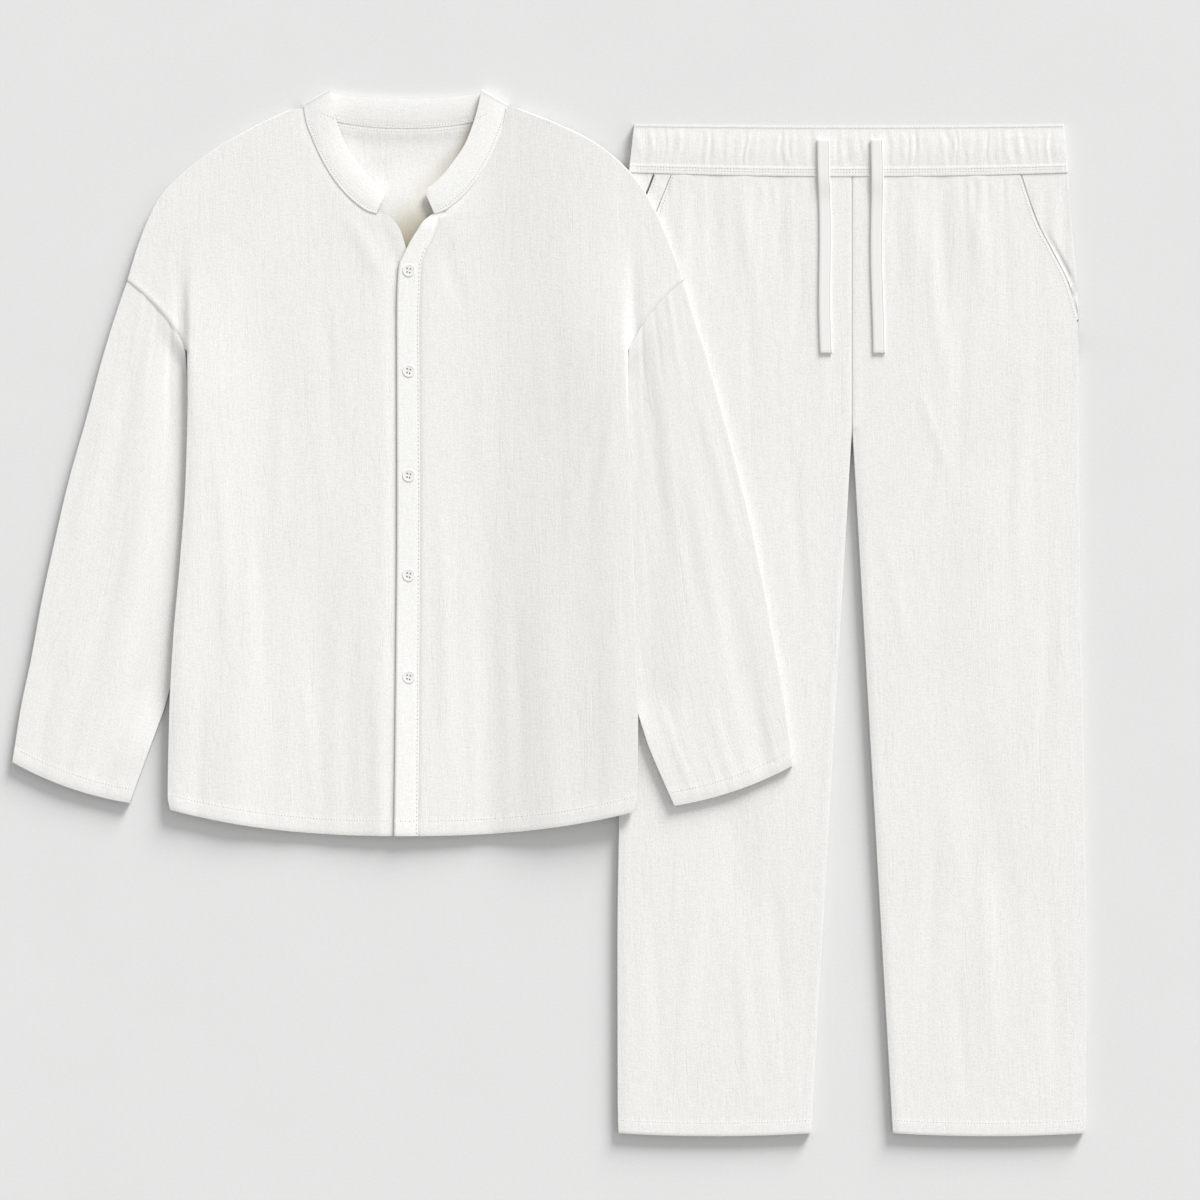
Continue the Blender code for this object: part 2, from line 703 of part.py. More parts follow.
def add_buttons(garment, material):
    mesh = button_mesh(garment.users_collection[0])
    around = np.radians(np.arange(0, 360, 30))
    reach = BUTTON_WIDTH / 2
    for number, down in enumerate(BUTTON_DOWNS, 1):
        under = placket_height(BUTTON_X + reach * np.cos(around), down + reach * np.sin(around))
        button = add_object(f"button_{number}", mesh, garment, material)
        button.location = (BUTTON_X * MM, -down * MM, (under.max() + SEAM) * MM)


def leg_inner(down):
    """How far the inside edge of a leg is from the centre line: the centre seam, then the inseam."""
    return SEAM / 2 + INSEAM_SLOPE * np.maximum(down - CROTCH, 0)


def waist_foot(x):
    return WAIST_FOOT + WAIST_FOOT_SAG * (1 - (x / WAIST_HALF) ** 2)


def leg_down(x, row):
    """Rows follow the waistband's lower edge at the top, and the hem's slight bow at the end."""
    top = (waist_foot(x) + SEAM + 0.2 - LEG_ROWS[0]) * (1 - smooth((row - LEG_ROWS[0]) / LEG_TOP_ENDS))
    share = (np.abs(x) - leg_inner(row)) / (LEG["right"][-1] - leg_inner(row))
    hem = smooth((row - LEG_HEM_FROM) / (LEG_END - LEG_HEM_FROM))
    return row + top + LEG_HEM_BOW * 4 * share * (1 - share) * hem


def leg_height(x, down):
    """The outer face of the trousers' fronts, before it is cut along the pocket mouths."""
    edges = {side: along(LEG["down"], LEG[side], down) for side in SIGN}
    ends = {side: POCKET[side]["down"][-1] + POCKET_BELOW + OUTER_ROLL[0] for side in SIGN}
    outer = smooth((down - by_side(x, ends)) / OUTER_ROLL[1])
    outer = outer * (1 - rolled(by_side(x, edges) - np.abs(x)))
    inner = smooth((down - INNER_ROLL[0]) / INNER_ROLL[1]) * (1 - rolled(np.abs(x) - leg_inner(down)))
    return FRONT_SEAT + (1 - outer) * (1 - inner) * (LOFT + folds_at(TROUSER_FOLDS, x, down))


def add_trouser_front(side, garment, material):
    rows = np.array(LEG_ROWS + SHIN_ROWS, float)[:, None]
    mouth = POCKET[side]
    pocket = along(mouth["down"], mouth["out"], rows)
    outer = np.where(rows < mouth["down"][-1], pocket, along(LEG["down"], LEG[side], rows))
    x = spread(SIGN[side] * outer, SIGN[side] * leg_inner(rows), EDGE_STEPS, EDGE_STEPS, LEG_PLAIN)
    down = leg_down(x, rows + 0 * x)
    x, down, up = left_to_right(x, down, leg_height(x, down))
    add_cloth(f"trouser_front_{side}", (x, down, up), CLOTH, garment, material)


def add_trouser_back(side, garment, material):
    rows = np.array(LEG_ROWS[::3] + (CROTCH,) + LEG_ROWS[13::2] + SHIN_ROWS, float)
    rows = np.unique(rows)[:, None]
    outer = along(LEG["down"], LEG[side], rows) - BACK_INSET
    inner = leg_inner(rows) + np.where(rows > CROTCH, BACK_INSET, 0)
    x = SIGN[side] * (outer + (inner - outer) * np.linspace(0, 1, 4))
    down = leg_down(x, rows + 0 * x) - np.where(rows == LEG_END, BACK_INSET, 0)
    x, down, up = left_to_right(x, down, CLOTH + 0 * x)
    add_cloth(f"trouser_back_{side}", (x, down, up), CLOTH, garment, material)


def add_pocket(side, garment, material):
    """The hip piece of a slanted pocket. It carries on under the front, and its outer edge is rolled."""
    mouth = POCKET[side]
    end = mouth["down"][-1] + POCKET_BELOW
    rows = np.append(np.linspace(LEG_ROWS[0], mouth["down"][-1], 7), end)[:, None]
    slant = along(mouth["down"], mouth["out"], rows)
    outer = along(LEG["down"], LEG[side], rows)
    under = np.minimum(slant, outer - EDGE_STEPS[3] - 1)
    x = SIGN[side] * np.concatenate([outer - EDGE_STEPS[:4], under, under - POCKET_LAP], axis=1)
    down = leg_down(x, rows + 0 * x)
    clear = smooth((np.abs(x) - slant) / POCKET_LAP) * (rows < mouth["down"][-1])
    full = HIP_UNDER + (HIP_TOP - HIP_UNDER) * clear - HIP_SEAT
    up = HIP_SEAT + full * rolled(outer - np.abs(x))
    x, down, up = left_to_right(x, down, up)
    add_cloth(f"pocket_{side}", (x, down, up), CLOTH, garment, material)


def gather_places():
    """Ridge and trough positions across the waistband, unevenly spaced, as shares of its width."""
    count = np.arange(2 * WAIST_GATHERS)
    gaps = 1 + 0.28 * np.sin(count * 1.9) + 0.16 * np.sin(count * 0.73)
    places = np.append(0, np.cumsum(gaps))
    return places / places[-1]


def add_waistband(garment, material):
    fixed, share, height = flat_tube(WAIST_END, WAIST_HEIGHT, gather_places(), np.linspace(0, 1, 9))
    rows = WAIST_ROWS[:, None]
    right, left = (along(WAIST["down"], WAIST[side], rows) for side in ("right", "left"))
    x = -right + fixed + share * (right + left)
    top = WAIST_SAG * (1 - (x / WAIST_HALF) ** 2)
    down = top + rows / rows[-1] * (waist_foot(x) - top)
    number = np.cumsum(height == height.max())
    wave = np.where(height == height.max(), np.where(number % 2, -1, 1), 0)
    uneven = 0.75 + 0.25 * np.sin(number * 0.9)
    up = height + GATHER_HEIGHT * GATHER_ROWS[:, None] * wave * uneven
    add_cloth("waistband", (x, down, up), WAIST_CLOTH, garment, material, ring=True)


def add_drawstring(side, garment, material):
    """A flat tape that leaves the band by its buttonhole and lies down the front to its free end."""
    down = np.append(np.linspace(TAPE_FROM, WAIST_FOOT, 4), np.linspace(58, TAPE_TO, 13))[:, None]
    start, end = TAPE_X[side]
    middle = start + (end - start) * (down - TAPE_FROM) / (TAPE_TO - TAPE_FROM)
    x = middle + TAPE_WIDTH * np.array([-0.5, 0, 0.5])
    down = down + 0 * x
    on_leg = leg_height(x, down)
    on_band = WAIST_HEIGHT + GATHER_HEIGHT
    under = on_leg + (on_band - on_leg) * (1 - smooth((down - TAPE_DROP[0]) / TAPE_DROP[1]))
    under = under.max(axis=1, keepdims=True) + 0 * x
    add_cloth(f"drawstring_{side}", (x, down, under + SEAM + TAPE_CLOTH), TAPE_CLOTH, garment, material)


def add_garment(name, place, collection):
    garment = bpy.data.objects.new(name, None)
    garment.location = (place[0] * MM, place[1] * MM, 0)
    collection.objects.link(garment)
    return garment


def main():
    for obj in list(bpy.data.objects):
        bpy.data.objects.remove(obj)
    collection = bpy.data.collections.new("coord_set")
    bpy.context.scene.collection.children.link(collection)
    linen = fill_material("linen", (0.87, 0.86, 0.82), 0.9)
    tape = fill_material("tape", (0.88, 0.87, 0.84), 0.85)
    pearl = fill_material("pearl", (0.86, 0.85, 0.82), 0.35)

    shirt = add_garment("shirt", SHIRT_AT, collection)
    add_shirt_back(shirt, linen)
    for side in SIGN:
        add_shirt_front(side, shirt, linen)
        add_sleeve(side, shirt, linen)
    add_placket(shirt, linen)
    add_collar(shirt, linen)
    add_buttons(shirt, pearl)

    trousers = add_garment("trousers", TROUSERS_AT, collection)
    add_waistband(trousers, linen)
    for side in SIGN:
        add_trouser_back(side, trousers, linen)
        add_trouser_front(side, trousers, linen)
        add_pocket(side, trousers, linen)
        add_drawstring(side, trousers, tape)


main()
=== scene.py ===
# %% [markdown]
# A co-ord set laid flat for a picture: a loose shirt with a band collar, and wide trousers on a drawstring,
# both cut from one off-white crinkled gauze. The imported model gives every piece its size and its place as
# plain thick walls. This script dresses those walls: each one gets a thin shell of cloth on the same form,
# with finer creases, and then come the sewing, the tapes, the buttons and the finishes.

import bmesh
import bpy
import numpy as np
from mathutils import Matrix, Vector
from mathutils.bvhtree import BVHTree


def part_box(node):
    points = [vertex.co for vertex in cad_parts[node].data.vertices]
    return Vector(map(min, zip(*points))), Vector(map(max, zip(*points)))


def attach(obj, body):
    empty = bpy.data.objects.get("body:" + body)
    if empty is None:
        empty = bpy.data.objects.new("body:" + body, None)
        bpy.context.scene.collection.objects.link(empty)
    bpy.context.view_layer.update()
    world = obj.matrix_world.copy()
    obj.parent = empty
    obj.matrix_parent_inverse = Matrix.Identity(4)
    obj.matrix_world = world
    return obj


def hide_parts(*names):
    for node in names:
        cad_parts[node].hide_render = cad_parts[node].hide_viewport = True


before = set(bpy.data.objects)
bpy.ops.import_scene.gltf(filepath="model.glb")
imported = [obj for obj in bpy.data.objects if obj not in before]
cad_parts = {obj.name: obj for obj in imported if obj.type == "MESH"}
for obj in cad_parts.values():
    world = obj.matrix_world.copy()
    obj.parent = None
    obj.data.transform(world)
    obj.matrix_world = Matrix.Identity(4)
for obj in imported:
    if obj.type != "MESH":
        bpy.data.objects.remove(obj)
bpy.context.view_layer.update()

# %% [markdown]
# A flat-lay is photographed from straight above. The camera hangs four metres up with a long lens, so that
# nothing looks taller than it is. The picture is a square, a little wider than the set.

# %% Camera
VIEW_CENTRE = (0.05075, 0.012)
VIEW_WIDTH = 1.2
VIEW_HEIGHT = 4.0
CLOTH_TOP = 0.006
SENSOR = 36.0


def add_object(name, data):
    """A new object in the scene, at the origin."""
    made = bpy.data.objects.new(name, data)
    bpy.context.scene.collection.objects.link(made)
    return made


camera_data = bpy.data.cameras.new("camera")
camera_data.sensor_width = SENSOR
camera_data.lens = SENSOR * VIEW_HEIGHT / VIEW_WIDTH
camera = add_object("camera", camera_data)
camera.location = (*VIEW_CENTRE, VIEW_HEIGHT + CLOTH_TOP)
bpy.context.scene.camera = camera
print("lens", camera_data.lens, "mm")

# %% [markdown]
# Everything below is drawn in millimetres in the garment's own frame, as a cutter would: x to the right of
# the centre line as seen from above, and down from the top edge. Right and left are the wearer's. A table
# has named columns, and a curve that never swings past its points is read through them.

# %% Tables and curves
MM = 0.001
SIGN = {"right": -1, "left": 1}
SHIRT_AT = (-143.75, 523.0)
TROUSERS_AT = (302.75, 488.0)
ROLL = 0.9
FOLD_FADE = 0.4
DROOP = 0.6
DROOP_REACH = 9.0


def table(columns, *rows):
    """Rows of numbers under named columns, as one array for each name."""
    return dict(zip(columns.split(), np.array(rows, float).T))


def smooth(share):
    """Eases from 0 to 1 as share goes from 0 to 1."""
    share = np.clip(share, 0, 1)
    return share * share * (3 - 2 * share)


def along(known, values, at):
    """Reads a smooth curve through a table's points, which never swings past them."""
    known, values = np.asarray(known, float), np.asarray(values, float)
    step = np.diff(known)
    slope = np.diff(values) / step
    product = slope[1:] * slope[:-1]
    total = np.where(product > 0, slope[1:] + slope[:-1], 1)
    tangent = np.concatenate([slope[:1], np.where(product > 0, 2 * product / total, 0), slope[-1:]])
    at = np.clip(at, known[0], known[-1])
    i = np.clip(np.searchsorted(known, at, side="right") - 1, 0, len(step) - 1)
    t = (at - known[i]) / step[i]
    bend_in = tangent[i] * step[i]
    bend_out = tangent[i + 1] * step[i]
    return (
        values[i] * (1 + 2 * t) * (1 - t) ** 2
        + bend_in * t * (1 - t) ** 2
        + values[i + 1] * t * t * (3 - 2 * t)
        - bend_out * t * t * (1 - t)
    )


def read(curves, name, at):
    """Reads one column of a table that runs down a garment."""
    return along(curves["down"], curves[name], at)


def in_stretches(*stretches):
    """Rows in stretches of (start, end, count), each joined to the one before it."""
    parts = [np.linspace(*stretch) for stretch in stretches]
    return np.concatenate([parts[0], *(part[1:] for part in parts[1:])])


def placed(place, x, down, up):
    """A point in a garment's frame, in metres in the scene."""
    return (place[0] + x) * MM, (place[1] - down) * MM, up * MM


def rolled(inside):
    """The share of its full height that cloth has at this distance inside a rolled edge."""
    return (1 - (1 - np.clip(inside / ROLL, 0, 1)) ** 4) ** 0.25


def by_side(x, values):
    """Reads the right column where x is on the wearer's right, and the left column elsewhere."""
    return np.where(x < 0, values["right"], values["left"])


def edges_of(outline, down):
    """Both edges of an outline, as distances from the centre line."""
    return {side: read(outline, side, down) for side in SIGN}


def inside_edge(outline, x, down):
    """How far a point is inside the outline's edge on its own side."""
    return by_side(x, edges_of(outline, down)) - np.abs(x)


def folds_at(folds, x, down):
    """Soft ridges and troughs from (x_start, start) to (x_end, end), swaying aside, fading at both ends."""
    total = np.zeros(np.broadcast(x, down).shape)
    sway = folds.get("sway", np.zeros_like(folds["half"]))
    columns = [folds[name] for name in ("x_start", "start", "x_end", "end", "height", "half")]
    for x_start, start, x_end, end, height, half, aside in zip(*columns, sway):
        share = (down - start) / (end - start)
        middle = x_start + (x_end - x_start) * share + aside * np.sin(np.pi * share)
        strength = smooth(share / FOLD_FADE) * smooth((1 - share) / FOLD_FADE)
        total = total + height * strength * smooth(1 - np.abs(x - middle) / half)
    return total

# %% [markdown]
# One helper lays any cloth. It takes a grid of points on the cloth's outer face, in rows from the top edge
# down. The mesh comes from a plain grid, and Solidify gives it the cloth's thickness on the inside. Four
# attributes go with it for the material: cloth, which holds the place on the flat cloth, so that the weave
# follows the grain; hem, the distance from the folded edge; and depth and rim, which carry painted shade.
# They darken the colour inside the neck, beside the placket, at the band's turn over the shoulders and on the
# steep outer walls of folds, where thin cloth in a real room catches less light. Its free edges and tight
# folds are marked sharp, so that smooth shading doesn't spread over them.

# %% Lay a shell of cloth
WALL = 1.1
NO_HEM = 400.0
# The next two are painted shade: how much it darkens the steep walls near a free edge, and how far in it
# reaches.
RIM_PAINTED_SHADE = 0.8
RIM_PAINTED_SHADE_REACH = 0.95
SHARP_ANGLE = np.radians(28)
NARROW = 80.0
EDGE_STEPS = np.array([0, 0.08, 0.25, 0.55, 1, 2.2, 4.5, 8, 12])


def crisp_edges(mesh, ring):
    """Free edges and tight folds are shaded as crisp ones, so that they don't read as bright rims."""
    grid = bmesh.new()
    grid.from_mesh(mesh)
    if ring:
        bmesh.ops.remove_doubles(grid, verts=grid.verts, dist=1e-6)
    for edge in grid.edges:
        edge.smooth = not edge.is_boundary and edge.calc_face_angle(0) < SHARP_ANGLE
    grid.to_mesh(mesh)
    grid.free()


def cloth_grid(name, rows, columns):
    """A flat grid with its faces shaded smooth, whose points are placed later."""
    grid = bmesh.new()
    bmesh.ops.create_grid(grid, x_segments=columns - 1, y_segments=rows - 1, size=1)
    for face in grid.faces:
        face.smooth = True
    mesh = bpy.data.meshes.new(name)
    grid.to_mesh(mesh)
    grid.free()
    return mesh


def lay_cloth(
    name,
    place,
    points,
    wall=WALL,
    grain=None,
    hem=NO_HEM,
    depth=0,
    rim=0,
    ring=False,
    centred=False,
):
    """A cloth shell. On a ring each row goes once round, so its two ends are merged."""
    x, down, up = points
    rows, columns = up.shape
    mesh = cloth_grid(name, rows, columns)
    u, v = grain or (x, down)
    if not ring:
        # Painted shade on the steep walls near the grid's two free edges.
        ends = [np.hypot(x - x[:, i : i + 1 or None], down - down[:, i : i + 1 or None]) for i in (0, -1)]
        rim = np.maximum(rim, RIM_PAINTED_SHADE * smooth(1 - np.minimum(*ends) / RIM_PAINTED_SHADE_REACH))

    def flat(values):
        return np.broadcast_to(values, up.shape)[::-1].ravel() * MM

    places = np.stack([flat(place[0] + x), flat(place[1] - down), flat(up)], axis=1)
    mesh.vertices.foreach_set("co", places.ravel())
    cloth = mesh.attributes.new("cloth", "FLOAT_VECTOR", "POINT")
    cloth.data.foreach_set("vector", np.stack([flat(u), flat(v), flat(0 * up)], axis=1).ravel())
    # The depth and rim attributes hold painted shade for the material's colour.
    for label, values in (("hem", flat(hem)), ("depth", flat(depth) / MM), ("rim", flat(rim) / MM)):
        mesh.attributes.new(label, "FLOAT", "POINT").data.foreach_set("value", values)
    crisp_edges(mesh, ring)
    piece = add_object(name, mesh)
    solidify = piece.modifiers.new("wall", "SOLIDIFY")
    solidify.thickness = wall * MM
    solidify.offset = 0 if centred else -1
    solidify.use_even_offset = True
    outer = places.reshape(rows, columns, 3)
    across = np.linalg.norm(np.diff(outer, axis=1), axis=2)[:-1]
    along_it = np.linalg.norm(np.diff(outer, axis=0), axis=2)[:, :-1]
    print(f"{name}: {4 * (rows - 1) * (columns - 1)} triangles, cloth {(across * along_it).sum():.3f} m2")
    return piece


def spread(outer, inner, plain):
    """Columns from an outer edge to an inner one, closer together near both."""
    width = inner - outer
    close = np.minimum(1, np.abs(width) / NARROW) * np.sign(width)
    near = outer + EDGE_STEPS * close
    far = inner - EDGE_STEPS[::-1] * close
    share = np.linspace(0, 1, plain + 1)[1:-1]
    middle = near[:, -1:] + (far[:, :1] - near[:, -1:]) * share
    return np.concatenate([near, middle, far], axis=1)


def left_to_right(*grids):
    """Turns each row round where it runs from right to left."""
    step = -1 if grids[0][-1, 0] > grids[0][-1, -1] else 1
    return tuple(grid[:, ::step] for grid in grids)

# %% [markdown]
# The trousers come first, because the two cords lie on them. Their outline is a table, and the height of the
# cloth is a function of the place: flat where it rests, rolled down at the folded sides, and lifted by long
# soft folds. The elastic waistband draws in the cloth, so its gathers run on below it as short pleats of
# uneven length.

# %% The trousers' outline
SEAT = 1.5
LOFT = 6.15
WAIST = table("down right left", (0, 218.3, 211.6), (25, 221, 214), (49, 223.5, 216))
WAIST_HALF = 220.0
WAIST_SAG = 1.5
WAIST_FOOT = 48.5
WAIST_FOOT_SAG = 4.0
WAIST_HEIGHT = 8.1
WAIST_END = 1.2
WAIST_GATHERS = 44
GATHER_HEIGHT = 0.38
LEG = table(
    "down right left",
    (49, 224, 216),
    (110, 226, 220.6),
    (167, 227, 225.4),
    (196, 227.5, 226.4),
    (276, 229, 226.5),
    (486, 231.3, 228.5),
    (561, 232, 230.5),
    (696, 233.5, 232.5),
    (816, 235, 234.5),
    (976, 234.8, 234),
    (1009, 234, 233),
)
CENTRE_GAP = 0.1
CROTCH = 306.0
INSEAM_SLOPE = 0.0575
LEG_TOP = 49.0
LEG_END = 1009.0
LEG_HEM = 13.0
LEG_HEM_BOW = 3.0
LEG_HEM_FROM = 900.0
LEG_TOP_ENDS = 60.0
UNDER_BAND = 3.0
OUTER_ROLL = (4.0, 30.0)
INNER_ROLL = (286.0, 60.0)
POCKET = {
    "right": table("down out", (48, 197.5), (70, 205.5), (100, 217), (128, 226)),
    "left": table("down out", (48, 168), (98, 185), (131, 202), (158, 215.5), (192, 226)),
}
POCKET_LAP = 12.0
POCKET_BELOW = 16.0
HIP_SEAT = 2.4
HIP_UNDER = 5.9
HIP_TOP = 7.5
MOUTH_WEDGE = {"right": (60, 128, 0.2), "left": (96, 186, 0.9)}

# %% [markdown]
# A fold is a row of a table: where its middle starts and ends, how high it is, half its width, and how far
# it sways aside on the way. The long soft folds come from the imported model, and the creases are added here.

# %% Folds in the trousers
TROUSER_FOLDS = table(
    "x_start start x_end end height half sway",
    (-172, 230, -165, -87, 0.84, 13, 0),
    (-140, 180, -133, -53, -0.7, 12, 0),
    (-104, 250, -111, -100, 0.84, 14, 0),
    (-70, 190, -77, -60, -0.7, 12, 0),
    (62, 200, 65, -67, 0.84, 13, 0),
    (96, 240, 86, -93, -0.7, 13, 0),
    (130, 190, 120, -60, 0.84, 14, 0),
    (-155, 600, -115, 340, 0.7, 40, 0),
    (115, 580, 145, 330, 0.77, 44, 0),
    (-96, 860, -130, 600, -0.7, 36, 0),
    (155, 840, 112, 580, -0.7, 40, 0),
)
TROUSER_CREASES = table(
    "x_start start x_end end height half sway",
    (-118, 60, -100, 330, -0.42, 11, 5),
    (-88, 52, -96, 210, 0.3, 8, -3),
    (-52, 55, -60, 260, -0.34, 9, 4),
    (-34, 90, -30, 330, 0.3, 10, 3),
    (38, 52, 46, 170, -0.3, 8, 2),
    (72, 58, 104, 300, 0.34, 12, -6),
    (110, 80, 96, 420, -0.38, 13, 6),
    (146, 60, 158, 240, -0.26, 9, 3),
    (178, 200, 168, 520, 0.42, 14, -5),
    (60, 250, 96, 360, 0.3, 9, 4),
    (92, 300, 52, 430, -0.3, 10, 3),
    (30, 380, 64, 560, 0.26, 12, -3),
    (196, 420, 186, 700, -0.34, 13, 4),
    (-60, 300, -44, 520, -0.34, 12, -4),
    (-150, 740, -182, 960, 0.38, 15, 5),
    (-80, 700, -64, 930, -0.38, 13, -4),
    (-116, 800, -104, 1000, 0.34, 12, 3),
    (-202, 760, -196, 985, -0.3, 11, 3),
    (84, 660, 70, 900, -0.34, 14, 4),
    (132, 640, 146, 990, 0.42, 16, -5),
    (196, 740, 204, 1000, -0.34, 12, 3),
    (104, 820, 120, 1005, -0.26, 10, -3),
)
PLEAT_DOWN = 44.0

# %% [markdown]
# Small functions place the rows: the inner edge of a leg, the waistband's foot and the bow of the hem. The
# gathers share one wave with no two ridges alike, because elastic never draws evenly, and the pleats below
# the band carry it on.

# %% The legs' rows and the gathers


def leg_inner(down):
    """How far the inside edge of a leg is from the centre line: the centre seam, then the inseam."""
    return CENTRE_GAP / 2 + INSEAM_SLOPE * np.maximum(down - CROTCH, 0)


def waist_foot(x):
    return WAIST_FOOT + WAIST_FOOT_SAG * (1 - (x / WAIST_HALF) ** 2)


def leg_down(x, row):
    """Rows follow the waistband's lower edge at the top, and the hem's slight bow at the end."""
    top = (waist_foot(x) - LEG_TOP) * (1 - smooth((row - LEG_TOP) / LEG_TOP_ENDS))
    share = (np.abs(x) - leg_inner(row)) / (LEG["right"][-1] - leg_inner(row))
    hem = smooth((row - LEG_HEM_FROM) / (LEG_END - LEG_HEM_FROM))
    return row + top + LEG_HEM_BOW * 4 * share * (1 - share) * hem


def gather_places():
    """Ridge and trough positions across the waistband, unevenly spaced, as shares of its width."""
    count = np.arange(2 * WAIST_GATHERS)
    gaps = 1 + 0.36 * np.sin(count * 1.9) + 0.3 * np.sin(count * 0.73 + 1)
    places = np.append(0, np.cumsum(gaps))
    return places / places[-1]


def gather_wave(share, seed=0.0):
    """Ridges and troughs of uneven height across the band, as a smooth wave from about -1 to 1."""
    number = np.arange(2 * WAIST_GATHERS + 1)
    uneven = 0.5 + 0.32 * np.sin(number * 0.9 + seed) + 0.3 * np.sin(number * 2.3 + 3 * seed)
    heights = np.where(number % 2, 1, -1) * uneven
    return along(gather_places(), heights, share)


def pleats(x, down):
    """The gathers run on below the band, and each fades out at its own length."""
    share = (x + WAIST_HALF) / (2 * WAIST_HALF)
    length = PLEAT_DOWN * (1 + 0.55 * np.sin(x * 0.061) + 0.35 * np.sin(x * 0.173 + 1))
    wave = gather_wave(share + 0.012 * np.sin(down * 0.021), 1.3)
    return 0.45 * wave * smooth(1 - (down - LEG_TOP) / length) * smooth((down - waist_foot(x) - 1) / 12)

# %% [markdown]
# The height of the fronts adds up a flat seat on the back, the loft of the cloth with its folds, the rolled
# sides, a low ridge at the inseam and a groove at the centre seam. A hem is thicker than the cloth above it.

# %% How high the trousers lie


def hem_swell(from_hem, width):
    """A hem is folded twice, so it stands a little proud, and its edge rounds down."""
    return 0.2 * (1 - smooth((from_hem - width + 2) / 4)) - 0.35 * (1 - smooth(from_hem / 1.5))


def leg_height(x, down):
    """The outer face of the trousers' fronts, before it is cut along the pocket mouths."""
    from_side = inside_edge(LEG, x, down)
    from_inseam = np.abs(x) - leg_inner(down)
    ends = {side: POCKET[side]["down"][-1] + POCKET_BELOW + OUTER_ROLL[0] for side in SIGN}
    outer = smooth((down - by_side(x, ends)) / OUTER_ROLL[1]) * (1 - rolled(from_side))
    inner = smooth((down - INNER_ROLL[0]) / INNER_ROLL[1]) * (1 - rolled(from_inseam))
    folds = folds_at(TROUSER_FOLDS, x, down) + folds_at(TROUSER_CREASES, x, down)
    loft = LOFT + folds * (0.3 + 0.7 * smooth((down - waist_foot(x)) / 70)) + pleats(x, down)
    from_left = np.where(x < 0, from_side, np.where(down > CROTCH, from_inseam, NO_HEM))
    loft = loft - DROOP * smooth(1 - from_left / DROOP_REACH)
    seam = 0.25 * smooth(1 - np.abs(from_inseam - 5) / 5) * smooth((down - CROTCH) / 80)
    centre = 0.3 * smooth(1 - np.abs(x) / 2) * smooth((CROTCH + 20 - down) / 40)
    tucked = 0.9 * smooth((waist_foot(x) - down) / UNDER_BAND)
    return SEAT + (1 - outer) * (1 - inner) * loft + seam - centre - tucked


print("trousers: hem", round(2 * LEG["right"][-1]), "mm across, leg", round(LEG_END), "mm")

# %% [markdown]
# The drawstring's two free ends are flat tapes, folded from strips of the same cloth. Each comes out of the
# band through a stitched slit and lies down the front. A flat tape is lofted round its own path, with rounded
# edges and a ridge where its folded edge is sewn down, because a round cord's bevel would look like a rope.

# %% The drawstring's free ends
TAPE_WIDTH = 12.5
TAPE_THICK = 1.6
TAPE_FROM = 15.0
TAPE_TO = 230.0
TAPE_DROP = (54.0, 24.0)
TAPE_X = {"right": (-29.0, -25.7), "left": (24.5, 26.0)}
TAPE_SEAT = 0.3
TAPE_ROWS = 130
TAPE_END_THIN = 0.55
ROUTE_STEP = 3
SECTION = table(
    "across up",
    (-0.5, 0.5),
    (-0.475, 0.85),
    (-0.42, 1.0),
    (-0.2, 0.94),
    (0, 0.92),
    (0.2, 0.93),
    (0.33, 0.95),
    (0.38, 0.85),
    (0.42, 1.12),
    (0.475, 0.95),
    (0.5, 0.5),
    (0.47, 0.08),
    (0.2, 0),
    (-0.2, 0),
    (-0.47, 0.08),
)


def tape_line(side, down):
    """The middle of a tape's underside, at this distance down the trousers: x and up."""
    start, end = TAPE_X[side]
    share = (down - TAPE_FROM) / (TAPE_TO - TAPE_FROM)
    x = start + (end - start) * share + 0.9 * np.sin(share * 7 + SIGN[side]) * smooth(share * 3)
    across = x[:, None] + TAPE_WIDTH * np.array([-0.5, -0.25, 0, 0.25, 0.5])
    on_leg = leg_height(across, down[:, None])
    on_band = WAIST_HEIGHT + 0.8
    under = on_leg + (on_band - on_leg) * (1 - smooth((down[:, None] - TAPE_DROP[0]) / TAPE_DROP[1]))
    return x, under.max(axis=1) + TAPE_SEAT


def make_tape(side):
    """A tape lofted round its own path, and the points of that path for the cord."""
    down = np.linspace(TAPE_FROM, TAPE_TO, TAPE_ROWS)
    x, under = tape_line(side, down)
    smoothing = np.ones(9) / 9
    under = np.convolve(np.pad(under, 4, mode="edge"), smoothing, mode="valid")
    body = bmesh.new()
    layer = body.verts.layers.float_vector.new("cloth")
    rings = []
    for row in range(TAPE_ROWS):
        thin = TAPE_END_THIN if row in (0, TAPE_ROWS - 1) else 1
        ring = []
        for across, up in zip(SECTION["across"], SECTION["up"]):
            height = TAPE_THICK * (0.5 + (up - 0.5) * thin)
            place = placed(TROUSERS_AT, x[row] + TAPE_WIDTH * across, down[row], under[row] + height)
            vertex = body.verts.new(place)
            vertex[layer] = (across * TAPE_WIDTH * MM, down[row] * MM, up * MM)
            ring.append(vertex)
        rings.append(ring)
    for above, below in zip(rings[:-1], rings[1:]):
        for i in range(len(above)):
            j = (i + 1) % len(above)
            body.faces.new((above[i], below[i], below[j], above[j]))
    body.faces.new(rings[0])
    body.faces.new(rings[-1][::-1])
    bmesh.ops.recalc_face_normals(body, faces=body.faces)
    mesh = bpy.data.meshes.new(f"tape_{side}")
    body.to_mesh(mesh)
    body.free()
    mesh.shade_smooth()
    path = [placed(TROUSERS_AT, a, b, c + TAPE_THICK / 2) for a, b, c in zip(x, down, under)]
    return add_object(f"tape_{side}", mesh), path[::ROUTE_STEP] + [path[-1]]


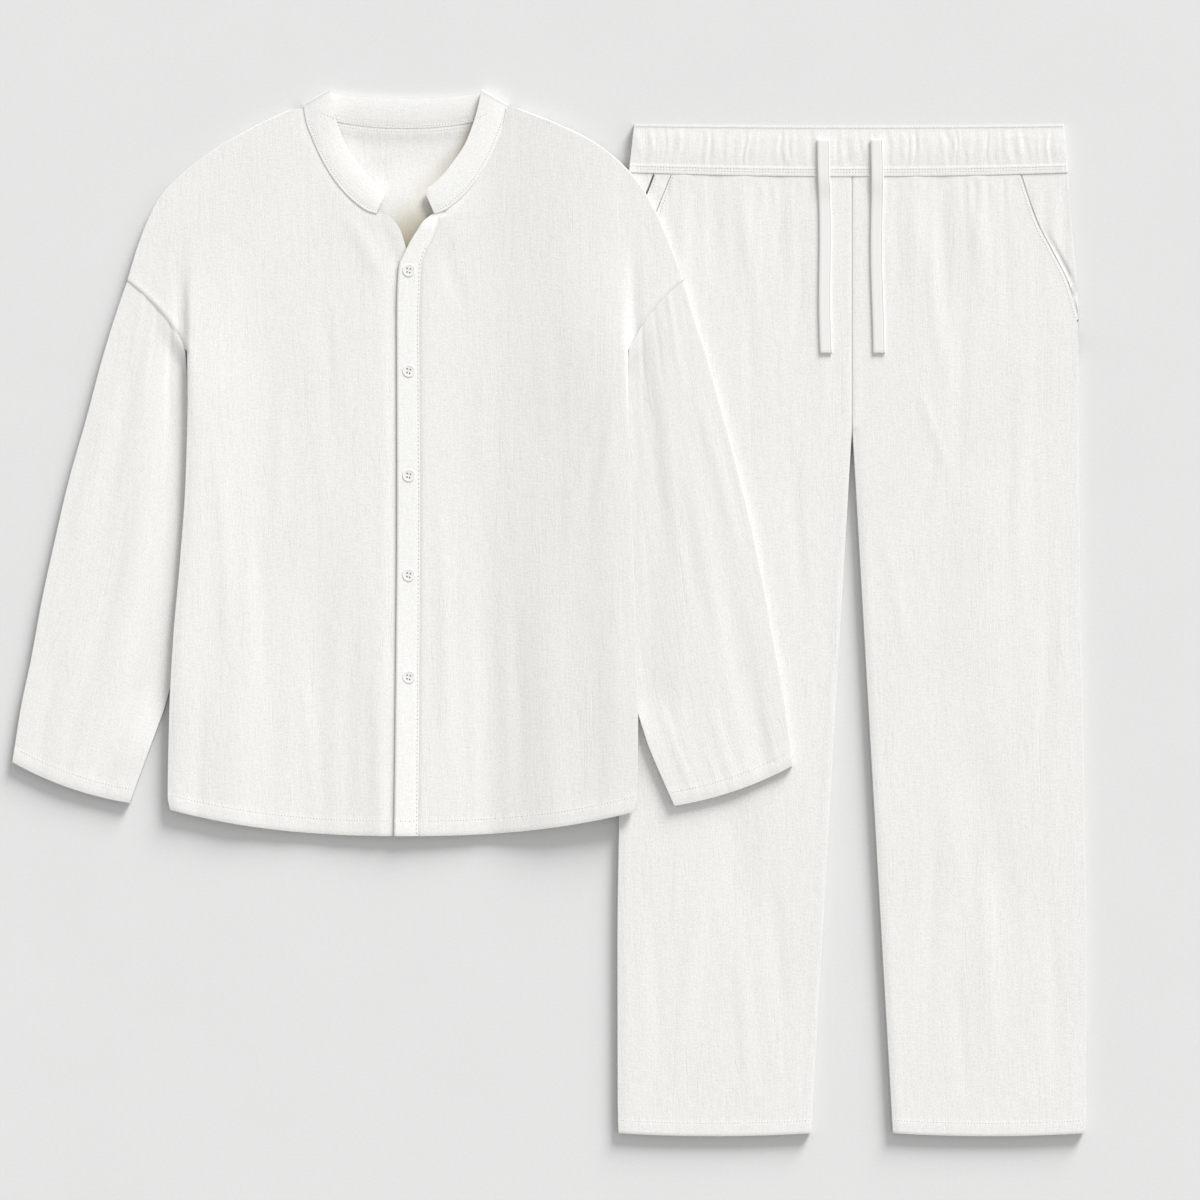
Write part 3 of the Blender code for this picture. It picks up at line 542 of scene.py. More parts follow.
tapes = {}
for side in SIGN:
    tapes[side], route = make_tape(side)
    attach(tapes[side], "root")
    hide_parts(f"drawstring_{side}")

# %% [markdown]
# The legs are two fronts on two backs. A real leg is a tube with a seam at each side, and laid flat it is
# two layers: the front's edges roll down to meet the back. The columns are closer together near those edges,
# because that is where the cloth bends most.

# %% Fronts and backs of the legs
LEG_PLAIN = 66
LEG_STRETCHES = (LEG_TOP, 330, 110), (330, LEG_END - 20, 200), (LEG_END - 20, LEG_END, 13)
LEG_ROWS = np.append(LEG_TOP - UNDER_BAND, in_stretches(*LEG_STRETCHES))
BACK_INSET = 0.8
HIP_EDGE_STEPS = np.array([0, 0.08, 0.25, 0.55, 1, 3, 6])
MOUTH_STEPS = np.array([5, 3.4, 2.2, 1.3, 0.7, 0.2, -0.3])
LAP_STEPS = np.array([4, 8, POCKET_LAP])
cloths = {}


def lay_trouser_front(side):
    rows = LEG_ROWS[:, None]
    mouth = POCKET[side]
    pocket = read(mouth, "out", rows)
    outer = np.where(rows < mouth["down"][-1], pocket, read(LEG, side, rows))
    x = spread(SIGN[side] * outer, SIGN[side] * leg_inner(rows), LEG_PLAIN)
    down = leg_down(x, rows + 0 * x)
    from_hem = leg_down(x, LEG_END) - down
    up = leg_height(x, down) + hem_swell(from_hem, LEG_HEM)
    near_mouth = smooth(1 - (outer - np.abs(x)) / 2) * (rows < mouth["down"][-1])
    x, down, up, from_hem = left_to_right(x, down, up - 0.12 * near_mouth, from_hem)
    return lay_cloth(f"front_{side}", TROUSERS_AT, (x, down, up), hem=from_hem)


def lay_trouser_back(side):
    rows = np.append(np.linspace(LEG_TOP, LEG_END - 1, 90), LEG_END)[:, None]
    outer = read(LEG, side, rows) - BACK_INSET
    inner = leg_inner(rows) + np.where(rows > CROTCH, BACK_INSET, 0)
    x = SIGN[side] * (outer + (inner - outer) * np.linspace(0, 1, 31))
    down = leg_down(x, rows + 0 * x) - np.where(rows == LEG_END, BACK_INSET, 0)
    from_hem = leg_down(x, LEG_END) - down
    x, down, from_hem = left_to_right(x, down, from_hem)
    return lay_cloth(f"back_{side}", TROUSERS_AT, (x, down, WALL + 0.05 + 0 * x), hem=from_hem)


def lay_pocket(side):
    """The hip piece of a slanted pocket. It carries on under the front, and its outer edge is rolled."""
    mouth = POCKET[side]
    foot = mouth["down"][-1]
    rows = in_stretches((LEG_TOP - UNDER_BAND, foot, 47), (foot, foot + POCKET_BELOW, 8))[:, None]
    slant = read(mouth, "out", rows)
    outer = read(LEG, side, rows)
    under = np.minimum(slant, outer - 7)
    near = outer - HIP_EDGE_STEPS
    room = np.clip((outer - 6.3 - under) / 5, 0.1, 1)
    close = under + MOUTH_STEPS * room
    middle = near[:, -1:] + (close[:, :1] - near[:, -1:]) * np.linspace(0, 1, 10)[1:-1]
    x = SIGN[side] * np.concatenate([near, middle, close, under - LAP_STEPS], axis=1)
    out = np.abs(x)
    down = leg_down(x, rows + 0 * x)
    clear = smooth((out - slant + 0.4) / 1.6) * (rows < foot)
    start, stop, depth = MOUTH_WEDGE[side]
    wedge = depth * smooth(1 - np.abs(out - slant - 4) / 5)
    wedge = wedge * smooth((rows - start) / 40) * smooth((stop - rows) / 20)
    full = HIP_UNDER + (HIP_TOP - HIP_UNDER) * clear - HIP_SEAT - wedge
    rise = rolled(outer - out)
    up = HIP_SEAT + full * rise
    up = up + 0.2 * np.sin(out * 0.35) * clear * rise * smooth((rows - 52) / 20)
    x, down, up = left_to_right(x, down, up)
    return lay_cloth(f"hip_{side}", TROUSERS_AT, (x, down, up))


for side in SIGN:
    cloths[f"trouser_back_{side}"] = lay_trouser_back(side)
    cloths[f"trouser_front_{side}"] = lay_trouser_front(side)
    cloths[f"pocket_{side}"] = lay_pocket(side)

# %% [markdown]
# The waistband is a flattened tube drawn in by elastic. Its gathers are one uneven wave across the band. Two
# things keep it from looking like corrugated card: each gather leans and wanders on its way down, and the
# rows of sewing near the band's two edges hold the wave flat.

# %% The waistband
WAIST_ROWS = table(
    "row gather proud",
    (0, 0.3, -0.05),
    (1, 0.25, 0),
    (2.5, 0.2, 0.05),
    (4, 0.3, -0.1),
    (8, 0.9, 0),
    (14, 1, 0.2),
    (25, 0.95, 0.3),
    (36, 1, 0.1),
    (40, 0.5, 0),
    (41.5, 0.35, 0.2),
    (43, 0.25, 0.1),
    (45, 0.2, 0.1),
    (47.5, 0.15, 0.15),
    (49, 0.1, 0.05),
)
WAIST_OVER = 460
WAIST_UNDER = 60


def flat_tube(end, height, top, bottom, steps=7):
    """Once round a flattened tube, from its left tip. Top and bottom are shares of the way across.

    Gives what is fixed and what goes with the width in each point's distance from the left tip, and
    its height.
    """
    rise = np.radians(np.linspace(0, 90, steps)[:-1])
    fall = np.radians(np.linspace(90, -90, 2 * steps - 1)[1:-1])
    close = np.radians(np.linspace(-90, 0, steps)[1:])
    blunt = 0.5
    ends = (
        end * (1 - np.abs(np.cos(rise)) ** blunt),
        -end * (1 - np.abs(np.cos(fall)) ** blunt),
        end * (1 - np.abs(np.cos(close)) ** blunt),
    )
    over, under = np.array(top), np.array(bottom)[::-1]
    fixed = np.concatenate([ends[0], end * (1 - 2 * over), ends[1], end * (1 - 2 * under), ends[2]])
    share = np.concatenate([0 * rise, over, 0 * fall + 1, under, 0 * close])
    turn = np.concatenate([np.sin(rise), 0 * over + 1, np.sin(fall), 0 * under - 1, np.sin(close)])
    return fixed, share, height / 2 * (1 + np.sign(turn) * np.abs(turn) ** blunt)


def lay_waistband():
    over, under = np.linspace(0, 1, WAIST_OVER), np.linspace(0, 1, WAIST_UNDER)
    fixed, share, height = flat_tube(WAIST_END, WAIST_HEIGHT, over, under)
    rows = in_stretches((0, 5, 8), (5, 38, 18), (38, 49, 13))[:, None]
    right, left = (read(WAIST, side, rows) for side in SIGN)
    x = -right + fixed + share * (right + left)
    top = WAIST_SAG * (1 - (x / WAIST_HALF) ** 2)
    down = top + rows / rows[-1] * (waist_foot(x) - top)
    on_top = smooth(2 * height / WAIST_HEIGHT - 1)
    lean = 0.003 * np.sin(rows * 0.09 + share * 37) + 0.002 * np.sin(rows * 0.17 + share * 11)
    first, second = gather_wave(share + lean), gather_wave(1 - share + lean, 2.1)
    wave = 0.75 * first + 0.35 * second * np.sin(share * 23) ** 2
    flatness = along(WAIST_ROWS["row"], WAIST_ROWS["gather"], rows)
    start, end = 3 + 8 * np.sin(share * 91) ** 2, 41 - 12 * np.sin(share * 67 + 1) ** 2
    flatness = flatness * (0.35 + 0.65 * smooth((rows - start) / 7) * smooth((end - rows) / 8))
    proud = along(WAIST_ROWS["row"], WAIST_ROWS["proud"], rows)
    up = height + on_top * (GATHER_HEIGHT * flatness * wave + proud)
    grain = (x + 0.6 * wave, down + 0 * x)
    # Painted shade on the band's rounded sides, below its top.
    rim = RIM_PAINTED_SHADE * (height < 0.97 * WAIST_HEIGHT)
    return lay_cloth("band", TROUSERS_AT, (x, down, up), ring=True, grain=grain, rim=rim)


cloths["waistband"] = lay_waistband()

# %% [markdown]
# The shirt lies partly on the trousers, so its left side climbs onto them. Its sleeves lie beside the body
# with their inner edges under it, which raises the body's sides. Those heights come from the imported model,
# and the functions here are the same ones at a finer step, with more and smaller creases.

# %% The shirt's outline
TROUSERS_TOP = 8.1
SHOULDER = table(
    "down right left",
    (15.4, 104, 101),
    (34.5, 145.5, 150.5),
    (56.5, 185.5, 193),
    (86.5, 225.5, 227),
    (111, 248, 244),
    (151, 266, 262.5),
    (192, 279, 278),
    (262, 305, 305),
)
SIDE = table(
    "down right left",
    (262, 218.5, 222.5),
    (311, 218, 223),
    (391, 220, 225),
    (471, 225.5, 228),
    (551, 232.5, 231),
    (631, 236.5, 232.5),
    (708, 238, 231.5),
    (722, 235.5, 229),
)
ARMHOLE_TOP = 192.0
ARMHOLE_FOOT = 262.0
ARMHOLE_BOW = 5.5
BACK_BOW = 8.5
BACK_BOW_FROM = 0.7
SHIRT_END = 722.0
HEM_MIDDLE = 747.0
HEM_RISE = 25.0
HEM_HALF = 230.0
HEM_POWER = 2.4
HEM_BEND_FROM = 520.0
SHIRT_HEM = 15.0

# %% [markdown]
# The neck seam and the two front edges are tables too. The right front passes under the placket, so its edge
# is seen only in the V of the neck. The placket has a folded edge and a stitched one.

# %% The neck and the placket
NECK = table(
    "down out",
    (15.4, 102.5),
    (33, 99),
    (50, 92.6),
    (71, 83),
    (93.5, 69),
    (110.5, 53.5),
)
NECK_FOOT = table("down out", (122, 38.5), (125, 28))
NECK_LAP = 1.5
UNDER_FRONT = table(
    "down x",
    (119, -41.5),
    (125, -17.5),
    (132.5, -9.9),
    (143, -3.8),
    (159, 0.8),
    (175, 6),
    (200, 10),
    (722, 10),
)
PLACKET = table(
    "down edge stitch",
    (124, 28.4, 41.5),
    (132.5, 17.7, 35.5),
    (141.7, 11.5, 31),
    (151, 5.4, 27.5),
    (160, 0.8, 22),
    (167.7, -3, 19),
    (174, -6.1, 17),
    (185, -7.6, 16),
    (203, -8.4, 15.4),
    (221, -8.8, 14.6),
    (411, -8.5, 15.5),
    (611, -10, 14.5),
    (722, -11.5, 13.5),
)

# %% [markdown]
# The shirt doesn't lie level. The placket stands proud of the front, the left side climbs onto the trousers,
# and each side of the body lies on its sleeve. A lift starts at one distance down and grows over another.

# %% How high the shirt lies
PLACKET_TOP_SLANT = 6.0
PLACKET_SLANT_ENDS = 30.0
PLACKET_PROUD = 0.8
PROUD_REACH = 45.0
UNDER_PLACKET = 0.9
UNDER_PLACKET_FROM = 140.0
UNDER_PLACKET_LAP = 2.0
UNDER_PLACKET_EASE = 12.0
ONTO_TROUSERS = (70.0, 214.0)
ONTO_THINNER = 0.35
SLOPE_ROOM = 0.6
SIDE_LIFT = 3.7
FRONT_LIFT = (145.0, 166.0)
BACK_LIFT = (240.0, 71.0)
LIFT_INSIDE = 90.0
LIFT_OUTSIDE = 10.0
LIFT_EASES = (600.0, 120.0)
LIFT_EASED = 0.45
SIDE_ROLL = (255.0, 40.0)

# %% [markdown]
# The inside of the neck is the darkest place of a shirt that lies flat, and part of that dark is painted
# shade in the back's colour. This table says how dark the painted shade is along the V and the neck seam, and
# how far it reaches from there.

# %% The painted shade inside the neck
NECK_PAINTED_SHADE = table(
    "x down strength reach",
    (0.5, 164, 1.0, 46),
    (11, 142, 0.8, 40),
    (21, 126, 0.3, 38),
    (24, 115, 0.1, 32),
    (21, 102, 0.2, 26),
    (27.5, 95.5, 0.34, 20),
    (37, 86.5, 0.4, 18),
    (48.5, 72, 0.42, 16),
    (59.5, 55.5, 0.5, 13),
    (67, 37, 0.5, 11),
    (72.5, 19, 0.5, 9),
)
# How dark the painted shade is on the right front along the placket's edge.
PLACKET_PAINTED_SHADE = 0.35
NECK_FILL = 3.0
NECK_SWELL = 0.5
NECK_SWELL_AT = (6.0, 118.0)
NECK_SWELL_REACH = 62.0
NECK_DIP = 0.15
NECK_DIP_REACH = (1.5, 5.0)
ARMHOLE_GAP = 0.25
ARMHOLE_LAP = 0.7
SIDE_FOLD = (140.0, 255.0)
SIDE_FOLD_DEPTH = 2.2

# %% [markdown]
# The shirt's folds are tables like the trousers' ones. The broad folds hang from the chest down to the hem,
# and the small creases lie mostly where the arms and the placket pull the cloth.

# %% Folds in the shirt
SHIRT_FOLDS = table(
    "x_start start x_end end height half sway",
    (-150, 330, -183, 1005, 1.43, 40, 0),
    (-80, 380, -100, 980, -1.21, 34, 0),
    (-12, 450, -12, 945, 1.1, 38, 0),
    (80, 380, 93, 983, -1.21, 30, 0),
    (140, 330, 157, 1005, 1.32, 34, 0),
)
SHIRT_CREASES = table(
    "x_start start x_end end height half sway",
    (-50, 470, -58, 790, -0.64, 14, -4),
    (-34, 520, -30, 800, 0.4, 10, 3),
    (-150, 400, -142, 640, -0.4, 13, 4),
    (-118, 250, -128, 470, 0.32, 12, -4),
    (-190, 330, -178, 600, 0.4, 12, 4),
    (-88, 180, -74, 380, -0.28, 12, 4),
    (-62, 120, -24, 205, 0.48, 15, 6),
    (-26, 130, -8, 190, -0.4, 9, 3),
    (-104, 560, -92, 790, 0.4, 12, 3),
    (-205, 560, -214, 790, -0.4, 11, 3),
    (36, 130, 60, 230, -0.32, 12, -4),
    (34, 380, 38, 700, 0.4, 12, 4),
    (58, 520, 66, 800, -0.32, 11, -3),
    (104, 450, 112, 790, -0.56, 13, 5),
    (204, 230, 152, 400, -0.48, 12, 8),
    (214, 262, 172, 470, 0.48, 11, 9),
    (196, 300, 186, 520, -0.48, 12, -5),
    (168, 340, 150, 560, 0.32, 11, 4),
    (132, 200, 138, 400, 0.28, 14, 5),
    (182, 480, 192, 780, -0.4, 12, 4),
    (210, 500, 206, 760, 0.32, 10, 3),
    (86, 240, 78, 420, 0.28, 13, -5),
)

# %% [markdown]
# These functions say where the shirt's cloth is: the curve of its hem, its outer edge from the shoulder down
# to the side, and how far the trousers and the sleeves lift it.

# %% Where the shirt lies


def shirt_hem(x):
    return HEM_MIDDLE - HEM_RISE * (np.abs(x) / HEM_HALF) ** HEM_POWER


def shirt_down(x, row):
    """Rows are level down to the waist, and then bend to the curve of the hem."""
    bend = smooth((row - HEM_BEND_FROM) / (SHIRT_END - HEM_BEND_FROM))
    return row + (shirt_hem(x) - SHIRT_END) * bend


def shirt_edge(side, down):
    """The body's outer edge: the shoulder, then the armhole seam, then the side."""
    top, foot = SLEEVE[side]["outer"][0], SLEEVE[side]["inner"][0]
    share = np.clip((down - ARMHOLE_TOP) / (ARMHOLE_FOOT - ARMHOLE_TOP), 0, 1)
    run = ARMHOLE_FOOT - ARMHOLE_TOP
    bow = ARMHOLE_BOW * np.hypot(run, top - foot) / run
    armhole = top + (foot - top) * share - bow * 4 * share * (1 - share)
    shoulder = read(SHOULDER, side, down)
    body = read(SIDE, side, down)
    return np.where(down < ARMHOLE_TOP, shoulder, np.where(down < ARMHOLE_FOOT, armhole, body))


def onto_trousers(x):
    start, full = ONTO_TROUSERS
    return TROUSERS_TOP * smooth((x - start) / (full - start))


def side_lift(x, down, start, over):
    """How far the sleeve below raises the side of the body, from start on."""
    eased = LIFT_EASED * smooth((down - LIFT_EASES[0]) / LIFT_EASES[1])
    rise = SIDE_LIFT * smooth((down - start) / over) * (1 - eased)
    inside = inside_edge(SIDE, x, down)
    return rise * np.where(inside > 0, smooth(1 - inside / LIFT_INSIDE), smooth(1 + inside / LIFT_OUTSIDE))

# %% [markdown]
# Round the neck the fronts dip under the band, the stiff layers swell a little, and the inside gets painted
# shade.
# Each goes by the distance from a line or a point, and fades out with it.

# %% Round the neck


def neck_distance(x, down):
    """How far a point is from the neck seam of the fronts."""
    out, seam_down = (np.concatenate([NECK[key], NECK_FOOT[key]]) for key in ("out", "down"))
    fine = np.linspace(0, len(out) - 1, 80)
    near = np.full(np.broadcast(x, down).shape, 1e3)
    for a, b in zip(*(np.interp(fine, np.arange(len(out)), line) for line in (out, seam_down))):
        near = np.minimum(near, np.hypot(np.abs(x) - a, down - b))
    return near


def painted_neck_shade(x, down):
    """How dark the painted shade inside the back is: most at the foot of the V and beside the left front."""
    count = np.arange(len(NECK_PAINTED_SHADE["x"]))
    fine = np.linspace(0, count[-1], 90)
    most = np.zeros(np.broadcast(x, down).shape)
    for a, b, strength, reach in zip(*(np.interp(fine, count, NECK_PAINTED_SHADE[key]) for key in NECK_PAINTED_SHADE)):
        most = np.maximum(most, strength * smooth(1 - np.hypot(x - a, down - b) / reach))
    return most


def under_band(x, down):
    """1 where the fronts dip to go under the neck band, and 0 clear of it."""
    full, none = NECK_DIP_REACH
    return smooth((none - neck_distance(x, down)) / (none - full))


def neck_swell(x, down):
    """The stiff buttoned layers stand up a little round the V of the neck."""
    return NECK_SWELL * smooth(1 - np.hypot(x - NECK_SWELL_AT[0], down - NECK_SWELL_AT[1]) / NECK_SWELL_REACH)

# %% [markdown]
# Last come the seam of the armhole with the fold beside it, and then the whole height of the fronts, which
# the placket and the buttons read too.

# %% How high the fronts lie


def armhole_ridge(x, down):
    """The armhole seam is a fine line with a low ridge beside it. A fold runs up from the body's side."""
    edges = {side: shirt_edge(side, down) for side in SIGN}
    inside = (by_side(x, edges) - np.abs(x)) * 0.75
    reach = smooth((down - ARMHOLE_TOP + 8) / 12) * smooth((ARMHOLE_FOOT + 90 - down) / 60)
    seam = reach * (0.3 * smooth(1 - np.abs(inside - 3.5) / 4) - 0.35 * smooth(1 - inside / 1.6))
    from_side = np.abs(x) - by_side(x, {side: SIDE[side][0] - 1.5 for side in SIGN})
    trough = smooth(1 - np.abs(from_side - 4) / np.where(from_side < 4, 5, 13))
    fold = smooth((down - SIDE_FOLD[0]) / (SIDE_FOLD[1] - SIDE_FOLD[0]))
    fold = fold * smooth((ARMHOLE_FOOT + 12 - down) / 12)
    return seam - SIDE_FOLD_DEPTH * fold * trough * (from_side > -2)


def front_height(x, down, creases=True):
    """The outer face of the shirt's fronts, as one surface from side to side."""
    shoulder = edges_of(SHOULDER, down)
    slope = by_side(x, edges_of(SHOULDER, down + 1)) - by_side(x, shoulder)
    inside_shoulder = (by_side(x, shoulder) - np.abs(x)) / np.hypot(1, slope)
    roll_share = smooth((down - SIDE_ROLL[0]) / SIDE_ROLL[1])
    side_roll = 1 - roll_share * (1 - rolled(inside_edge(SIDE, x, down)))
    high = np.where(down < ARMHOLE_FOOT, rolled(inside_shoulder), 1) * side_roll
    onto = onto_trousers(x)
    room = SLOPE_ROOM * 4 * onto * (TROUSERS_TOP - onto) / TROUSERS_TOP**2
    rest = onto + room + side_lift(x, down, *FRONT_LIFT) - NECK_DIP * under_band(x, down)
    from_left = read(SIDE, "right", down) + x
    folds = folds_at(SHIRT_FOLDS, x, down) - DROOP * roll_share * smooth(1 - from_left / DROOP_REACH)
    if creases:
        folds = folds + folds_at(SHIRT_CREASES, x, down)
    thinner = 1 - ONTO_THINNER * onto / TROUSERS_TOP
    return SEAT + rest + neck_swell(x, down) + high * (LOFT + folds) * thinner


def placket_edges(row):
    """The placket's free edge and its stitched edge, as x."""
    return (read(PLACKET, name, row) for name in ("edge", "stitch"))


def placket_slant(row):
    """How much higher a row of the placket is at its stitched edge than at its free one."""
    return PLACKET_TOP_SLANT * (1 - smooth((row - PLACKET["down"][0]) / PLACKET_SLANT_ENDS))


def placket_height(x, down):
    """The outer face of the placket, which dips under the neck band."""
    return front_height(x, down, creases=False) + PLACKET_PROUD * smooth((neck_distance(x, down) - 1.5) / 16)

# %% [markdown]
# A sleeve is a flattened tube too. Its sections are listed from the armhole to the cuff, each from the outer
# fold to the inner one, and a smooth curve reads them at a finer step. The creases of a sleeve follow the
# arm, so they are placed by share of the width and by section, and its weave follows the same grid.

# %% The sleeves
SLEEVE = {
    "right": table(
        "outer outer_down inner inner_down",
        (278.5, 192, 219.5, 262),
        (291, 228, 218, 300),
        (304, 271, 215, 345),
        (320, 331, 214, 405),
        (337, 391, 216.5, 460),
        (351, 451, 221, 512),
        (364, 511, 228, 560),
        (375, 571, 237.5, 607),
        (384.5, 616, 254, 655),
        (393.5, 673, 275.5, 714),
    ),
    "left": table(
        "outer outer_down inner inner_down",
        (278, 192, 222.5, 262),
        (290, 232, 221, 300),
        (303, 273, 219, 345),
        (319, 331, 219, 405),
        (335, 391, 221, 460),
        (349, 451, 223, 512),
        (361, 511, 226, 560),
        (372, 571, 229.5, 610),
        (380, 616, 240, 650),
        (387.5, 676, 268, 716.5),
    ),
}
SLEEVE_HEIGHT = {"right": 7.2, "left": 5.2}
SLEEVE_END = 1.2
CUFF_BOW = 5.5
CUFF_BOW_FROM = 6.0
CUFF_HEM = 14.0
ARMHOLE_BOW_ENDS = 2.5
PRESSED = 0.5
PRESSED_REACH = 62.0
PRESSED_TO = 8.4
SLEEVE_ROWS = 165
SLEEVE_OVER = 42
SLEEVE_UNDER = 14
SLEEVE_FOLDS = table(
    "x_start start x_end end height half sway",
    (0.34, 0.5, 0.30, 5.5, -0.65, 0.13, 0),
    (0.62, 2.5, 0.55, 8.5, 0.55, 0.15, 0),
    (0.30, 5.5, 0.38, 12, 0.5, 0.15, 0),
    (0.74, 4.5, 0.77, 12, -0.6, 0.12, 0),
)
SLEEVE_CREASES = table(
    "x_start start x_end end height half sway",
    (0.16, -1.0, 0.32, 2.6, 0.28, 0.06, 0.03),
    (0.42, -0.6, 0.52, 2.2, -0.28, 0.06, 0.02),
    (0.64, -1.0, 0.78, 3.0, -0.4, 0.07, 0.02),
    (0.20, 2.0, 0.16, 5.6, 0.4, 0.08, -0.03),
    (0.48, 3.2, 0.40, 7.4, -0.4, 0.09, 0.03),
    (0.84, 2.4, 0.88, 6.5, 0.4, 0.07, 0.02),
    (0.60, 6.2, 0.66, 9.8, -0.4, 0.08, 0.03),
    (0.18, 6.0, 0.24, 9.6, -0.32, 0.08, -0.02),
    (0.50, 7.0, 0.46, 10.2, 0.4, 0.07, 0.02),
    (0.86, 6.8, 0.82, 9.6, 0.32, 0.06, -0.02),
)


def lay_sleeve(side):
    cut = SLEEVE[side]
    sections = np.arange(len(cut["outer"]))
    row = np.linspace(0, sections[-1], SLEEVE_ROWS)[:, None]
    fold = {}
    for name in ("outer", "inner"):
        out = along(sections, cut[name], row)
        fold[name] = np.stack([SIGN[side] * out, along(sections, cut[f"{name}_down"], row)])
    left, right = (fold[name] for name in (("outer", "inner") if side == "right" else ("inner", "outer")))
    width = np.hypot(*(right - left))
    over, under = np.linspace(0, 1, SLEEVE_OVER), np.linspace(0, 1, SLEEVE_UNDER)
    fixed, share, height = flat_tube(SLEEVE_END, SLEEVE_HEIGHT[side], over, under)
    # Painted shade on the sleeve's rounded sides, below its top.
    rim = RIM_PAINTED_SHADE * (height < 0.97 * SLEEVE_HEIGHT[side])
    across = (fixed + share * width) / width
    run_x, run_down = (right - left) / width
    cuff = smooth((row - CUFF_BOW_FROM) / (sections[-1] - CUFF_BOW_FROM))
    bow = CUFF_BOW * cuff - ARMHOLE_BOW * (1 - smooth(row / ARMHOLE_BOW_ENDS))
    away = bow * 4 * across * (1 - across) + ARMHOLE_GAP * (1 - smooth(row))
    x = left[0] + (right - left)[0] * across - run_down * away
    down = left[1] + (right - left)[1] * across + run_x * away
    on_top = smooth(2 * height / SLEEVE_HEIGHT[side] - 1)
    step = np.hypot(np.diff(x, axis=0), np.diff(down, axis=0)).mean(axis=1)
    length = np.append(0, np.cumsum(step))[:, None]
    from_hem = length[-1] - length
    lengthwise = row + 0 * across
    mirrored = across if side == "right" else 1 - across
    creases = folds_at(SLEEVE_FOLDS, across, lengthwise) + folds_at(SLEEVE_CREASES, mirrored, lengthwise)
    from_inner = (1 - mirrored) * width
    pressed = PRESSED * smooth(1 - from_inner / PRESSED_REACH) * smooth((PRESSED_TO - row) / 1.6)
    pressed = pressed * smooth(row / 0.8)
    height = height * (1 - pressed)
    up = height + creases * on_top * (1 - 0.4 * smooth(1 - from_hem / 30))
    up = up + hem_swell(from_hem, CUFF_HEM) * on_top
    up = up + (TROUSERS_TOP if side == "left" else 0)
    grain = ((across - 0.5) * width, length + 0 * across)
    points = (x, down, up)
    return lay_cloth(f"sleeve_{side}", SHIRT_AT, points, grain=grain, hem=from_hem, rim=rim, ring=True)


for side in SIGN:
    cloths[f"shirt_sleeve_{side}"] = lay_sleeve(side)

# %% [markdown]
# The body is a back and two fronts. The left front carries the placket, a folded strip that stands a little
# proud, and the right front dips to pass under it. In the open neck the fronts' edges curve away, and the
# inside of the back shows.

# %% The shirt's back, fronts and placket
FRONT_PLAIN = 62
BODY_STRETCHES = (ARMHOLE_FOOT, 700, 150), (700, SHIRT_END, 10)
SHIRT_ROWS = in_stretches((20, ARMHOLE_FOOT, 104), *BODY_STRETCHES)
PLACKET_ROWS = in_stretches((124, ARMHOLE_FOOT, 70), *BODY_STRETCHES)
PLACKET_STEPS = np.array([0, 0.015, 0.05, 0.1, 0.2, 0.3, 0.4, 0.5, 0.6, 0.7, 0.8, 0.87, 0.92, 0.96, 0.985, 1])
BACK_HALF = 276
BACK_COLUMNS = 48
BACK_TOP_ROWS = 70
BACK_ROWS = 76
NECK_FILL_AT = (6, 128)
NECK_FILL_REACH = 62
BACK_NECK = table(
    "out down",
    (0, 36.7),
    (22, 36.1),
    (45, 34),
    (68, 30.4),
    (85, 25.8),
    (97, 21.6),
    (106, 20.5),
)


def lay_shirt_front(side):
    rows = SHIRT_ROWS[:, None]
    neck_x = SIGN[side] * (NECK["out"] - NECK_LAP)
    if side == "right":
        edge_down, edge_x = UNDER_FRONT["down"], UNDER_FRONT["x"]
    else:
        edge_down = PLACKET["down"] - placket_slant(PLACKET["down"])
        edge_x = PLACKET["stitch"] - 1.8
    inner = along(np.append(NECK["down"], edge_down), np.append(neck_x, edge_x), rows)
    lap = ARMHOLE_LAP * smooth((rows - ARMHOLE_TOP) / 4) * smooth((ARMHOLE_FOOT - rows) / 4)
    outer = SIGN[side] * (shirt_edge(side, rows) + lap)
    edge, stitch = placket_edges(rows)
    x = spread(outer, inner, FRONT_PLAIN)
    down = shirt_down(x, rows + 0 * x)
    from_hem = shirt_hem(x) - down
    up = front_height(x, down) + hem_swell(from_hem, SHIRT_HEM) + armhole_ridge(x, down)
    if side == "right":
        covered = smooth((x - edge + UNDER_PLACKET_LAP) / UNDER_PLACKET_EASE + 1)
        up = up - UNDER_PLACKET * covered * smooth((rows - UNDER_PLACKET_FROM) / UNDER_PLACKET_EASE)
        # Painted shade on the right front along the placket's edge, where it passes under.
        depth = PLACKET_PAINTED_SHADE * smooth((x - edge + 3) / 2) * (rows > UNDER_PLACKET_FROM)
    else:
        beside = smooth(1 - (x - stitch) / PROUD_REACH)
        level = PLACKET_PROUD * beside * (1 - under_band(x, down))
        up = up + level - 0.12 * smooth(1 - (x - stitch) / 3) - 0.5 * smooth((stitch + 0.2 - x) / 1.5)
        depth = 0 * x
    x, down, up, from_hem, depth = left_to_right(x, down, up, from_hem, depth)
    return lay_cloth(f"shirt_{side}", SHIRT_AT, (x, down, up), hem=from_hem, depth=depth)

# %% [markdown]
# The back's rows are level up to the armholes. From there they bend, so that the last one runs along both
# shoulders and the neck. The back rises a little inside the neck, where the stiff seam holds it up.

# %% The shirt's back


